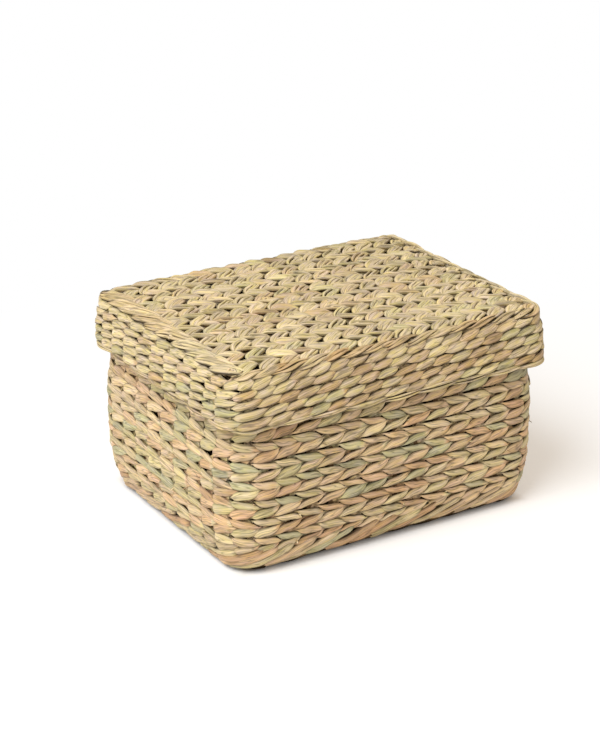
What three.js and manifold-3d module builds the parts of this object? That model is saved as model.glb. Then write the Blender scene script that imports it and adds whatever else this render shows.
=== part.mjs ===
// Woven seagrass box with a lift-off lid. Millimetres, +Z up, origin on the floor under its middle.
// Twined courses ring the walls, each with a strand in front of the stakes and one behind them.
import * as THREE from 'three';
import { mergeVertices } from 'three/addons/utils/BufferGeometryUtils.js';
import Module from 'manifold-3d';

const wasm = await Module();
wasm.setup();

// Overall size, over the lid's rim and from the floor to the lid's top
const LENGTH = 280;
const WIDTH = 230;
const HEIGHT = 160;

// Lid: how deep it is, how far its rim stands out past its top edge, and its corners seen from above
const LID_DEPTH = 42.5;
const LID_FLARE_X = 5.2;
const LID_FLARE_Y = 9;
const LID_TOP_CORNER = 14;
const LID_RIM_CORNER = 22;
const SKIRT_COURSES = 5;
const LID_BANDS = 10;

// Body: its belly, the foot that tucks in below it and the neck that enters the lid
const BODY_LENGTH = 275;
const BODY_WIDTH = 222;
const BODY_CORNER = 34;
const FOOT_TUCK = 17;
const FOOT_HEIGHT = 40;
const NECK_HEIGHT = 32;
const NECK_CORNER = 26;
const WALL_COURSES = 18;
const BASE_BANDS = 10;

// Weave: thickness of the walls, of the base and top mats, and the shape of their strands
const COURSE_DEPTH = 6.5;
const COURSE_CROWN = 0.9;
const MAT_DEPTH = 6.7;
const MAT_CROWN = 1;
const FOOT_WALE_TOP = 21;
const FOOT_WALE_BOTTOM = 9;
const EDGE_LIFT = 0.5;
const EDGE_REACH = 6;
const EDGE_WALL = 2.2;
const LID_EDGE_HEIGHT = 4.2;
const RIM_HEIGHT = 3.4;
const RIM_CAP = 1.4;

// Stakes that the courses are woven round
const STAKE_THICK = 1.4;
const STAKE_WIDTH = 4;
const BODY_STAKE_PITCH = 18.4;
const LID_STAKE_PITCH = 16.2;
const END_STAKE_PITCH = 20.5;
const STAKE_FOLD = 2.2;

// Clearances: between pieces that touch, round a stake in its slot, and from the body to the lid
const GAP = 0.3;
const STAKE_PLAY = 0.8;
const LID_FIT = 1.5;

// Steps in a quarter-round corner, and in a stake's rise through the foot, the neck or the lid
const CORNER_STEPS = 4;
const STAKE_STEPS = 3;

// Heights and widths that follow from the sizes above
const LID_BOTTOM = HEIGHT - LID_DEPTH;
const LID_UNDERSIDE = HEIGHT - MAT_DEPTH;
const LID_EDGE_BOTTOM = HEIGHT - LID_EDGE_HEIGHT;
const BODY_TOP = LID_UNDERSIDE - GAP;
const BODY_RIM_BOTTOM = BODY_TOP - RIM_HEIGHT;
const LID_RIM_TOP = LID_BOTTOM + RIM_HEIGHT;
const SLOT = STAKE_THICK + 2 * STAKE_PLAY;
const MID_DEPTH = COURSE_DEPTH / 2;
const MAT_MID = MAT_DEPTH / 2;

const X = new THREE.Vector3(1, 0, 0);
const Y = new THREE.Vector3(0, 1, 0);
const Z = new THREE.Vector3(0, 0, 1);
const ALONG_X = new THREE.Matrix4().makeBasis(Y, Z, X);
const ALONG_Y = new THREE.Matrix4().makeBasis(X, Z, Y.clone().negate());

const LID_STRAW = '#dcc692';
const BODY_TAN = '#d6b888';
const EDGE_AMBER = '#cfa968';
const STAKE_BROWN = '#b89a68';
const DRY_LEAF_ROUGHNESS = 0.75;

// Rounded-rectangle outlines: half length x, half width y and corner radius r
function inset(outline, depth) {
  return { x: outline.x - depth, y: outline.y - depth, r: Math.max(outline.r - depth, GAP) };
}

function between(a, b, t) {
  const mix = THREE.MathUtils.lerp;
  return { x: mix(a.x, b.x, t), y: mix(a.y, b.y, t), r: mix(a.r, b.r, t) };
}

// The lid's outside at height z: it flares quickly below the top edge and hangs straight at the rim
function lidOutline(z) {
  const drop = THREE.MathUtils.clamp((HEIGHT - z) / LID_DEPTH, 0, 1);
  const top = {
    x: LENGTH / 2 - LID_FLARE_X,
    y: WIDTH / 2 - LID_FLARE_Y,
    r: LID_TOP_CORNER,
  };
  const rim = { x: LENGTH / 2, y: WIDTH / 2, r: LID_RIM_CORNER };
  return between(top, rim, 1 - (1 - drop) ** 2);
}

// The body's outside at height z: a tucked foot, a straight belly and a neck that clears the lid
function bodyOutline(z) {
  const belly = { x: BODY_LENGTH / 2, y: BODY_WIDTH / 2, r: BODY_CORNER };
  const tuck = FOOT_TUCK * Math.max(1 - z / FOOT_HEIGHT, 0) ** 2;
  const neck = inset(lidOutline(Math.max(z, LID_BOTTOM)), COURSE_DEPTH + LID_FIT);
  neck.r = NECK_CORNER;
  const rise = THREE.MathUtils.smoothstep(z, LID_BOTTOM - NECK_HEIGHT, LID_BOTTOM);
  return between(inset(belly, tuck), neck, rise);
}

function cornerPoints(outline) {
  const points = [];
  for (let quarter = 0; quarter < 4; quarter += 1) {
    for (let step = 0; step <= CORNER_STEPS; step += 1) {
      const turn = (quarter + step / CORNER_STEPS) * (Math.PI / 2);
      const middle = (quarter + 0.5) * (Math.PI / 2);
      const x = Math.sign(Math.cos(middle)) * (outline.x - outline.r) + outline.r * Math.cos(turn);
      const y = Math.sign(Math.sin(middle)) * (outline.y - outline.r) + outline.r * Math.sin(turn);
      points.push([x, y]);
    }
  }
  return points;
}

// A closed ring round an outline that changes with height. The section lists [inset, z], anticlockwise
// when it is seen with the outside on the left
function ring(outlineAt, section) {
  const loops = section.map(([depth, z]) => cornerPoints(inset(outlineAt(z), depth)).map((p) => [...p, z]));
  const count = loops[0].length;
  const index = [];
  for (let side = 0; side < loops.length; side += 1) {
    const next = (side + 1) % loops.length;
    for (let i = 0; i < count; i += 1) {
      const j = (i + 1) % count;
      const [a, b] = [side * count + i, side * count + j];
      const [c, d] = [next * count + i, next * count + j];
      index.push(a, c, b, b, c, d);
    }
  }
  const geometry = new THREE.BufferGeometry();
  geometry.setAttribute('position', new THREE.Float32BufferAttribute(loops.flat(2), 3));
  geometry.setIndex(index);
  return geometry;
}

// A flat outline of [across, z] points, extruded to both sides of the middle along X or along Y
function bar(points, length, direction) {
  const shape = new THREE.Shape(points.map(([across, z]) => new THREE.Vector2(across, z)));
  const geometry = new THREE.ExtrudeGeometry(shape, { depth: length, bevelEnabled: false });
  geometry.translate(0, 0, -length / 2);
  return geometry.applyMatrix4(direction);
}

// The outline of a strip of even thickness along a path of [across, z] points
function strip(path, thickness) {
  const points = path.map(([across, z]) => new THREE.Vector2(across, z));
  const edge = (side) => points.map((point, i) => {
    const before = points[Math.max(i - 1, 0)];
    const after = points[Math.min(i + 1, points.length - 1)];
    const run = after.clone().sub(before).normalize();
    return [point.x - run.y * side, point.y + run.x * side];
  });
  return [...edge(-thickness / 2), ...edge(thickness / 2).reverse()];
}

// Joining and cutting
function solid(geometry) {
  geometry.deleteAttribute('normal');
  geometry.deleteAttribute('uv');
  const merged = mergeVertices(geometry, 1e-4);
  const vertProperties = new Float32Array(merged.attributes.position.array);
  const triVerts = new Uint32Array(merged.index.array);
  return new wasm.Manifold(new wasm.Mesh({ numProp: 3, vertProperties, triVerts }));
}

function geometryOf(manifold) {
  const { vertProperties, triVerts } = manifold.getMesh();
  const geometry = new THREE.BufferGeometry();
  geometry.setAttribute('position', new THREE.BufferAttribute(vertProperties, 3));
  geometry.setIndex(new THREE.BufferAttribute(triVerts, 1));
  return geometry;
}

function cut(geometry, cutters) {
  const whole = solid(geometry);
  return geometryOf(cutters.reduce((rest, cutter) => rest.subtract(solid(cutter)), whole));
}

function join(geometries) {
  return geometryOf(geometries.map(solid).reduce((whole, piece) => whole.add(piece)));
}

// How many stakes of one pitch stand in a straight run, and where
function stakePlaces(straight, pitch) {
  const count = Math.floor((2 * straight - STAKE_WIDTH - 2 * STAKE_PLAY) / pitch) + 1;
  return Array.from({ length: count }, (_, i) => (i - (count - 1) / 2) * pitch);
}

function slotReach(places) {
  return places[places.length - 1] + STAKE_WIDTH / 2 + STAKE_PLAY;
}

// The half length of wall that is straight at every one of some heights
function straightRun(outlineAt, axis, levels) {
  return Math.min(...levels.map(outlineAt).map((outline) => outline[axis] - outline.r));
}

const BODY_LEVELS = [0, FOOT_HEIGHT, LID_BOTTOM, BODY_TOP];
const LID_LEVELS = [LID_BOTTOM, HEIGHT];
const BODY_SIDE_STAKES = stakePlaces(straightRun(bodyOutline, 'x', BODY_LEVELS), BODY_STAKE_PITCH);
const BODY_END_STAKES = stakePlaces(straightRun(bodyOutline, 'y', BODY_LEVELS), END_STAKE_PITCH);
const LID_SIDE_STAKES = stakePlaces(straightRun(lidOutline, 'x', LID_LEVELS), LID_STAKE_PITCH);
const LID_END_STAKES = stakePlaces(straightRun(lidOutline, 'y', LID_LEVELS), END_STAKE_PITCH);

// One course of the wall: a ring with a slot on each side, between its front and back strands
function course(outlineAt, low, high, sidePlaces, endPlaces) {
  const middle = (low + high) / 2;
  const hoop = ring(outlineAt, [
    [COURSE_CROWN, low],
    [COURSE_DEPTH - COURSE_CROWN, low],
    [COURSE_DEPTH, middle],
    [COURSE_DEPTH - COURSE_CROWN, high],
    [COURSE_CROWN, high],
    [0, middle],
  ]);
  const over = [low - SLOT, middle, high + SLOT];
  const slot = (axis, side, length, direction) => {
    const path = over.map((z) => [side * (outlineAt(z)[axis] - MID_DEPTH), z]);
    return bar(strip(path, SLOT), length, direction);
  };
  const cutters = [-1, 1].flatMap((side) => [
    slot('y', side, 2 * slotReach(sidePlaces), ALONG_X),
    slot('x', side, 2 * slotReach(endPlaces), ALONG_Y),
  ]);
  return cut(hoop, cutters);
}

// One band of a mat: two rows of twining along X that close on each other at the ends, with a slot for
// the stakes. The crowned face is up, and the flat one lies at z = flat
function band(number, count, field, flat, sidePlaces) {
  const pitch = (2 * field.y + GAP) / count;
  const near = -field.y + number * pitch;
  const far = near + pitch - GAP;
  const row = (far - near) / 2;
  const crown = [near, near + row, far].map((y) => [y, flat + MAT_DEPTH - MAT_CROWN]);
  const crests = [near + row / 2, far - row / 2].map((y) => [y, flat + MAT_DEPTH]);
  const top = [crown[0], crests[0], crown[1], crests[1], crown[2]];
  const outline = [[near, flat], ...top, [far, flat]];
  const whole = solid(bar(outline, 2 * field.x, ALONG_X));
  const plan = new THREE.Shape(cornerPoints(field).map(([x, y]) => new THREE.Vector2(x, y)));
  const stock = new THREE.ExtrudeGeometry(plan, { depth: 2 * MAT_DEPTH, bevelEnabled: false });
  stock.translate(0, 0, flat - MAT_DEPTH / 2);
  const half = SLOT / 2;
  const height = flat + MAT_MID;
  const slot = [
    [near - GAP, height - half],
    [far + GAP, height - half],
    [far + GAP, height + half],
    [near - GAP, height + half],
  ];
  const opening = solid(bar(slot, 2 * slotReach(sidePlaces), ALONG_X));
  return geometryOf(whole.intersect(solid(stock)).subtract(opening));
}

// A rim: a channel that caps the last course and holds the folded stake ends. It opens down or up
function rim(outlineAt, capped, up) {
  const wall = (COURSE_DEPTH - SLOT) / 2;
  const open = capped - up * RIM_HEIGHT;
  const floor = capped - up * RIM_CAP;
  const section = [
    [0, open],
    [wall, open],
    [wall, floor],
    [COURSE_DEPTH - wall, floor],
    [COURSE_DEPTH - wall, open],
    [COURSE_DEPTH, open],
    [COURSE_DEPTH, capped],
    [0, capped],
  ];
  return ring(outlineAt, up > 0 ? section : section.reverse());
}

// The folded stake ends, a thin hoop inside a rim's channel
function fold(outlineAt, low, high) {
  const near = MID_DEPTH - STAKE_FOLD / 2;
  const far = MID_DEPTH + STAKE_FOLD / 2;
  return ring(outlineAt, [[near, low], [far, low], [far, high], [near, high]]);
}

// Even steps from one height to another, without the last one
function heights(from, to) {
  return Array.from({ length: STAKE_STEPS }, (_, i) => THREE.MathUtils.lerp(from, to, i / STAKE_STEPS));
}

// A stake inside a wall: [half width, z] at each height
function rise(outlineAt, axis, levels) {
  return levels.map((z) => [outlineAt(z)[axis] - MID_DEPTH, z]);
}

// All the stakes of the body or the lid, joined by the hoop of their folded ends
function stakes(hoop, sideRise, endRise, crossing, sidePlaces, endPlaces) {
  const mirror = (path) => path.map(([across, z]) => [-across, z]).reverse();
  const half = [...sideRise, [crossing.y, crossing.z]];
  const bent = strip([...half, ...mirror(half)], STAKE_THICK);
  const along = sidePlaces.map((x) => bar(bent, STAKE_WIDTH, ALONG_X).translate(x, 0, 0));
  const ends = [-1, 1].flatMap((side) => {
    const upright = strip(endRise.map(([across, z]) => [side * across, z]), STAKE_THICK);
    return endPlaces.map((y) => bar(upright, STAKE_WIDTH, ALONG_Y).translate(0, y, 0));
  });
  return join([hoop, ...along, ...ends]);
}

// The scene: a group for the body and one for the lid
const box = new THREE.Group();
const body = new THREE.Group();
const lid = new THREE.Group();
box.add(body, lid);

function place(group, name, geometry, color) {
  const flat = geometry.index ? geometry.toNonIndexed() : geometry;
  flat.computeVertexNormals();
  const material = new THREE.MeshStandardMaterial({
    color,
    roughness: DRY_LEAF_ROUGHNESS,
    metalness: 0,
  });
  const mesh = new THREE.Mesh(flat, material);
  mesh.name = name;
  group.add(mesh);
}

function numbered(name, i) {
  return `${name}_${String(i + 1).padStart(2, '0')}`;
}

// Even courses between two heights, each a gap short of the next
function stack(group, name, count, low, high, outlineAt, sidePlaces, endPlaces, color) {
  const pitch = (high - low + GAP) / count;
  for (let i = 0; i < count; i += 1) {
    const bottom = low + i * pitch;
    const hoop = course(outlineAt, bottom, bottom + pitch - GAP, sidePlaces, endPlaces);
    place(group, numbered(name, i), hoop, color);
  }
}

// Base: bands along X, inside the edge course that turns the weave up into the wall
const baseField = inset(bodyOutline(0), EDGE_REACH + GAP);
for (let i = 0; i < BASE_BANDS; i += 1) {
  const strand = band(i, BASE_BANDS, baseField, 0, BODY_SIDE_STAKES);
  place(body, numbered('base_band', i), strand, BODY_TAN);
}

const edgeFloor = MAT_MID - STAKE_THICK / 2 - GAP;
const baseEdge = ring(bodyOutline, [
  [0, EDGE_LIFT],
  [EDGE_REACH, EDGE_LIFT],
  [EDGE_REACH, edgeFloor],
  [EDGE_WALL, edgeFloor],
  [EDGE_WALL, FOOT_WALE_BOTTOM - GAP],
  [0, FOOT_WALE_BOTTOM - GAP],
]);
place(body, 'base_edge_course', baseEdge, EDGE_AMBER);

// Wall: the foot wale, the twined courses and the rim
const footWale = course(bodyOutline, FOOT_WALE_BOTTOM, FOOT_WALE_TOP, BODY_SIDE_STAKES, BODY_END_STAKES);
place(body, 'foot_wale', footWale, BODY_TAN);
stack(
  body,
  'wall_course',
  WALL_COURSES,
  FOOT_WALE_TOP + GAP,
  BODY_RIM_BOTTOM - GAP,
  bodyOutline,
  BODY_SIDE_STAKES,
  BODY_END_STAKES,
  BODY_TAN,
);
place(body, 'body_rim', rim(bodyOutline, BODY_TOP, 1), BODY_TAN);

const bodyFoldTop = BODY_TOP - RIM_CAP - GAP;
const bodyStakeTop = (BODY_RIM_BOTTOM + bodyFoldTop) / 2;
const neckStart = LID_BOTTOM - NECK_HEIGHT;
const footEnd = FOOT_WALE_BOTTOM - GAP;
const bodyLevels = [
  ...heights(bodyStakeTop, LID_BOTTOM),
  ...heights(LID_BOTTOM, neckStart),
  neckStart,
  ...heights(FOOT_HEIGHT, footEnd),
  footEnd,
];
const bodyStakes = stakes(
  fold(bodyOutline, BODY_RIM_BOTTOM, bodyFoldTop),
  rise(bodyOutline, 'y', bodyLevels),
  rise(bodyOutline, 'x', bodyLevels),
  { y: baseField.y, z: MAT_MID },
  BODY_SIDE_STAKES,
  BODY_END_STAKES,
);
place(body, 'body_stakes', bodyStakes, STAKE_BROWN);

// Lid: bands along X, the edge wale round them, the skirt and its rim
const lidField = inset(lidOutline(HEIGHT), EDGE_REACH + GAP);
for (let i = 0; i < LID_BANDS; i += 1) {
  const strand = band(i, LID_BANDS, lidField, LID_UNDERSIDE, LID_SIDE_STAKES);
  place(lid, numbered('lid_band', i), strand, LID_STRAW);
}

const edgeCeiling = HEIGHT - MAT_MID + STAKE_THICK / 2 + GAP;
const lidEdge = ring(lidOutline, [
  [0, LID_EDGE_BOTTOM],
  [EDGE_WALL, LID_EDGE_BOTTOM],
  [EDGE_WALL, edgeCeiling],
  [EDGE_REACH, edgeCeiling],
  [EDGE_REACH, HEIGHT - EDGE_LIFT],
  [EDGE_WALL, HEIGHT],
  [0, edgeCeiling],
]);
place(lid, 'lid_edge_wale', lidEdge, EDGE_AMBER);

stack(
  lid,
  'skirt_course',
  SKIRT_COURSES,
  LID_RIM_TOP + GAP,
  LID_EDGE_BOTTOM - GAP,
  lidOutline,
  LID_SIDE_STAKES,
  LID_END_STAKES,
  LID_STRAW,
);
place(lid, 'lid_rim', rim(lidOutline, LID_BOTTOM, -1), LID_STRAW);

const lidFoldBottom = LID_BOTTOM + RIM_CAP + GAP;
const lidStakeBottom = (LID_RIM_TOP + lidFoldBottom) / 2;
const lidLevels = [...heights(lidStakeBottom, LID_EDGE_BOTTOM), LID_EDGE_BOTTOM];
const lidStakes = stakes(
  fold(lidOutline, lidFoldBottom, LID_RIM_TOP),
  rise(lidOutline, 'y', lidLevels),
  rise(lidOutline, 'x', lidLevels),
  { y: lidField.y, z: HEIGHT - MAT_MID },
  LID_SIDE_STAKES,
  LID_END_STAKES,
);
place(lid, 'lid_stakes', lidStakes, STAKE_BROWN);

export default box;
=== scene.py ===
"""Looks of a woven seagrass box with a lift-off lid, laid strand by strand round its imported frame."""

import logging
import math
from dataclasses import dataclass, field, replace
from enum import Enum
from typing import Any

import bpy
import numpy as np
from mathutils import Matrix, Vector


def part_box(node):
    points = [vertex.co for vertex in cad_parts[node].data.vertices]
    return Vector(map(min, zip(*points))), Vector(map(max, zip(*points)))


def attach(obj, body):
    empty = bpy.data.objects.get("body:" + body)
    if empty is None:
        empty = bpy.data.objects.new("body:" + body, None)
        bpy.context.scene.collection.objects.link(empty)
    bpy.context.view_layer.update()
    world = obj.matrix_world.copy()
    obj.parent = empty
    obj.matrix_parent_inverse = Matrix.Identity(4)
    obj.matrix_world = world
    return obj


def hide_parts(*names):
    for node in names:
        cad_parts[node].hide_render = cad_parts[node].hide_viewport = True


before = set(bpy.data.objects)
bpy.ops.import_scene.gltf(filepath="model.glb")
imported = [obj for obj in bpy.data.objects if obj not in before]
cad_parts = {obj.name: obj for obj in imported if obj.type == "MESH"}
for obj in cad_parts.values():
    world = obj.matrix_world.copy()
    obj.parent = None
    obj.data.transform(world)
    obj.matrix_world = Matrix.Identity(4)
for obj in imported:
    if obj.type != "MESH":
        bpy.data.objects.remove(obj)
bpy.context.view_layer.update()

log = logging.getLogger("woven_box")

Array = np.ndarray
Random = np.random.Generator
Socket = bpy.types.NodeSocket
MM = 0.001
TURN = 2 * math.pi
QUARTER = math.pi / 2
WHITE = (1.0, 1.0, 1.0, 1.0)


class Slant(Enum):
    """Which way a row's stitches lean, seen from outside."""

    RISING = 1
    FALLING = -1


# Small helpers

# Farthest that a draw may stray, in standard deviations
WILDEST = 2

# Share of its thickness that a leaf keeps at its tips
THIN_TIP = 0.5

# Sockets of a mix node that mixes colours
MIX_SHARE = 0
MIX_FIRST = 6
MIX_SECOND = 7
MIX_RESULT = 2


def linear(hex_colour: str) -> tuple[float, float, float, float]:
    """Turn an sRGB hex colour into linear RGBA.

    Args:
        hex_colour: A hash and six hex digits.

    Returns:
        Red, green and blue in linear light, and an alpha of 1.
    """
    parts = [int(hex_colour[i : i + 2], 16) / 255 for i in (1, 3, 5)]
    red, green, blue = (p / 12.92 if p <= 0.04045 else ((p + 0.055) / 1.055) ** 2.4 for p in parts)
    return (red, green, blue, 1.0)


def unit(vectors: Array) -> Array:
    """Scale each row of an array of vectors to length one."""
    return vectors / np.linalg.norm(vectors, axis=1, keepdims=True)


def smooth(value: Array) -> Array:
    """Ease a value between 0 and 1."""
    t = np.clip(value, 0, 1)
    return t * t * (3 - 2 * t)


def thinned(fullness: Array) -> Array:
    """Share of a leaf's thickness that is left where it narrows."""
    return THIN_TIP + (1 - THIN_TIP) * np.sqrt(fullness)


def near_one(rng: Random, spread: float) -> float:
    """Draw a factor round 1."""
    return rng.uniform(1 - spread, 1 + spread)


def wander(rng: Random, q: Array, amount: float, cycle: int) -> Array:
    """Draw one random value for each stitch and ease between them.

    Args:
        rng: Source of the draws.
        q: Stitch coordinate of each sample, an integer at each stake.
        amount: Standard deviation of the draws.
        cycle: Number of draws, after which they repeat.

    Returns:
        A value for each sample.
    """
    limit = WILDEST * amount
    draws = np.clip(rng.normal(0, amount, cycle), -limit, limit)
    first = np.floor(q).astype(int)
    t = smooth(q - first)
    return draws[first % cycle] * (1 - t) + draws[(first + 1) % cycle] * t


def bare_tree(owner: bpy.types.Material | bpy.types.World) -> bpy.types.NodeTree:
    """Give a material or a world an empty node tree.

    Args:
        owner: The material or the world.

    Returns:
        Its tree.
    """
    owner.use_nodes = True
    owner.node_tree.nodes.clear()
    return owner.node_tree


def add_node(
    tree: bpy.types.NodeTree,
    kind: str,
    settings: dict[Any, Any] | None = None,
    links: dict[Any, Socket] | None = None,
) -> bpy.types.Node:
    """Add one node with its settings and links.

    Args:
        tree: Tree that gets the node.
        kind: Blender's identifier of the node.
        settings: Values of its properties, or of its input sockets by name or index.
        links: Output sockets that feed its inputs, by the input's name or index.

    Returns:
        The new node.
    """
    node = tree.nodes.new(kind)
    for name, value in (settings or {}).items():
        if isinstance(name, str) and hasattr(node, name):
            setattr(node, name, value)
        else:
            node.inputs[name].default_value = value
    for name, socket in (links or {}).items():
        tree.links.new(socket, node.inputs[name])
    return node


def reckon(tree: bpy.types.NodeTree, operation: str, first: Socket, second: Socket | float = 0.0) -> Socket:
    """Work out a value from one or two others.

    Args:
        tree: Tree that gets the node.
        operation: Blender's name of the operation.
        first: Its first input.
        second: Its second input, a socket or a number.

    Returns:
        The socket with the result.
    """
    settings: dict[Any, Any] = {"operation": operation}
    links = {0: first}
    if isinstance(second, float):
        settings[1] = second
    else:
        links[1] = second
    return add_node(tree, "ShaderNodeMath", settings, links).outputs[0]


def mapped(
    tree: bpy.types.NodeTree, value: Socket, span: tuple[float, float], result: tuple[float, float]
) -> Socket:
    """Carry a value from one span to another, and hold it beyond the span's ends.

    Args:
        tree: Tree that gets the node.
        value: The value.
        span: Its two ends.
        result: What the two ends become.

    Returns:
        The socket with the result.
    """
    limits = {"From Min": span[0], "From Max": span[1], "To Min": result[0], "To Max": result[1]}
    return add_node(tree, "ShaderNodeMapRange", limits, {"Value": value}).outputs[0]


# Finishes


@dataclass(frozen=True)
class Streaks:
    """Noise drawn out along a leaf: one spot for each gap across it and each run along it."""

    gap: float
    run: float
    detail: float

    def value(self, tree: bpy.types.NodeTree, lay: Socket) -> Socket:
        """Draw the noise.

        Args:
            tree: The material's tree.
            lay: Place in the strand's own straight space.

        Returns:
            The socket with the noise at that place.
        """
        scale = (1 / self.gap, 1 / self.gap, 1 / self.run)
        spread = add_node(tree, "ShaderNodeVectorMath", {"operation": "MULTIPLY", 1: scale}, {0: lay})
        links = {"Vector": spread.outputs["Vector"]}
        noise = add_node(tree, "ShaderNodeTexNoise", {"Scale": 1.0, "Detail": self.detail}, links)
        return noise.outputs["Fac"]


@dataclass(frozen=True)
class SeagrassFinish:
    """Dried seagrass, rolled by hand into strands: satin leaf with fine fibres along it and folded edges.

    The eye sees straw, light brown and sage strands, a fold line or two along each, and dark gaps between
    them, deepened by painted shade.

    Attributes:
        name: The material's name.
        palette: Colours at their places from 0 to 1.
        weights: How often each of them is drawn.
        painted_shade_colour: Colour of the painted shade in the gaps, along the leaves' edges and folds,
            and on the dark sheets behind the rows.
        fibre: Streaks of the fine fibres.
        fold: Streaks whose middle values are the fold lines, which get painted shade.
        blotch: Streaks that move the colour along the palette, and the gloss.
        fade: Streaks that bleach the leaf.
        noise_span: Values that most of the noise lies between.
        hue_drift: How far a blotch moves the colour along the palette.
        fibre_tone: Brightness of the fibres, from the darkest to the palest.
        fold_span: How far from the middle value a fold line ends.
        fold_tone: Brightness in the middle of a fold line: painted shade in the crease.
        bleach: How far the fading changes the blue.
        bump_strength: Strength of the relief.
        bump_depth: Depth of the relief.
        roughness: Roughness between the two ends of a blotch.
        specular: Specular level away from the painted shade, which takes it to none.
        ior: Index of refraction.
    """

    name: str
    palette: tuple[tuple[float, str], ...]
    weights: tuple[float, ...]
    painted_shade_colour: str = "#0e0703"
    fibre: Streaks = Streaks(0.6 * MM, 14 * MM, 3.0)
    fold: Streaks = Streaks(2.2 * MM, 26 * MM, 1.0)
    blotch: Streaks = Streaks(5 * MM, 16 * MM, 2.0)
    fade: Streaks = Streaks(2.5 * MM, 9 * MM, 3.0)
    noise_span: tuple[float, float] = (0.3, 0.7)
    hue_drift: float = 0.1
    fibre_tone: tuple[float, float] = (0.76, 1.17)
    fold_span: float = 0.05
    fold_tone: float = 0.5
    bleach: float = 0.2
    bump_strength: float = 0.6
    bump_depth: float = 0.4 * MM
    roughness: tuple[float, float] = (0.48, 0.70)
    specular: float = 0.5
    ior: float = 1.45

    def draw_hue(self, rng: Random) -> float:
        """Draw one strand's place on the palette.

        Args:
            rng: Source of the draw.

        Returns:
            One of the palette's places, by their weights.
        """
        stops = [place for place, _ in self.palette]
        chances = np.array(self.weights) / sum(self.weights)
        return float(rng.choice(stops, p=chances))

    def material(self) -> bpy.types.Material:
        """Make the node material.

        Returns:
            A material that reads the strands' own attributes.
        """
        made = bpy.data.materials.new(self.name)
        tree = bare_tree(made)
        shade = add_node(tree, "ShaderNodeAttribute", {"attribute_name": "leaf_shade"}).outputs["Fac"]
        lay = add_node(tree, "ShaderNodeAttribute", {"attribute_name": "leaf_lay"}).outputs["Vector"]
        blotch = self.blotch.value(tree, lay)
        fold = self.fold.value(tree, lay)
        grain = mapped(tree, self.fibre.value(tree, lay), self.noise_span, self.fibre_tone)
        # Painted shade along the fold lines: the leaf darkens towards each fold streak's middle
        beside = reckon(tree, "ABSOLUTE", reckon(tree, "SUBTRACT", fold, sum(self.noise_span) / 2))
        crease = mapped(tree, beside, (0.0, self.fold_span), (self.fold_tone, 1.0))
        lined = reckon(tree, "MULTIPLY", grain, crease)
        leaf = self.leaf_colour(tree, lay, blotch, lined)
        # Mix the leaf towards the painted shade colour by the strands' leaf_shade attribute
        colour = add_node(
            tree,
            "ShaderNodeMix",
            {"data_type": "RGBA", MIX_SECOND: linear(self.painted_shade_colour)},
            {MIX_SHARE: shade, MIX_FIRST: leaf},
        )
        bump = add_node(
            tree,
            "ShaderNodeBump",
            {"Strength": self.bump_strength, "Distance": self.bump_depth},
            {"Height": reckon(tree, "ADD", lined, blotch)},
        )
        # The painted shade also takes the specular away
        shader = add_node(
            tree,
            "ShaderNodeBsdfPrincipled",
            {"IOR": self.ior},
            {
                "Base Color": colour.outputs[MIX_RESULT],
                "Roughness": mapped(tree, blotch, self.noise_span, self.roughness),
                "Specular IOR Level": mapped(tree, shade, (0.0, 1.0), (self.specular, 0.0)),
                "Normal": bump.outputs["Normal"],
            },
        )
        add_node(tree, "ShaderNodeOutputMaterial", links={"Surface": shader.outputs["BSDF"]})
        return made

    def leaf_colour(self, tree: bpy.types.NodeTree, lay: Socket, blotch: Socket, lined: Socket) -> Socket:
        """Colour the leaf itself, with no gap beside it.

        Args:
            tree: The material's tree.
            lay: Place in the strand's own straight space.
            blotch: Noise that moves the colour along the palette.
            lined: Brightness of the fibres and the fold lines.

        Returns:
            The socket with the colour.
        """
        hue = add_node(tree, "ShaderNodeAttribute", {"attribute_name": "leaf_hue"}).outputs["Fac"]
        tone = add_node(tree, "ShaderNodeAttribute", {"attribute_name": "leaf_tone"}).outputs["Fac"]
        drift = mapped(tree, blotch, self.noise_span, (-self.hue_drift, self.hue_drift))
        ramp = add_node(tree, "ShaderNodeValToRGB", links={"Fac": reckon(tree, "ADD", hue, drift)})
        stops = ramp.color_ramp.elements
        while len(stops) < len(self.palette):
            stops.new(0.5)
        for stop, (position, colour) in zip(stops, self.palette):
            stop.position = position
            stop.color = linear(colour)
        leaf = add_node(
            tree,
            "ShaderNodeVectorMath",
            {"operation": "SCALE"},
            {0: ramp.outputs["Color"], "Scale": reckon(tree, "MULTIPLY", lined, tone)},
        )
        blue = mapped(tree, self.fade.value(tree, lay), self.noise_span, (1 - self.bleach, 1 + self.bleach))
        paler = add_node(tree, "ShaderNodeCombineXYZ", {0: 1.0, 1: 1.0}, {2: blue})
        faded = add_node(
            tree,
            "ShaderNodeVectorMath",
            {"operation": "MULTIPLY"},
            {0: leaf.outputs["Vector"], 1: paler.outputs["Vector"]},
        )
        return faded.outputs["Vector"]


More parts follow.
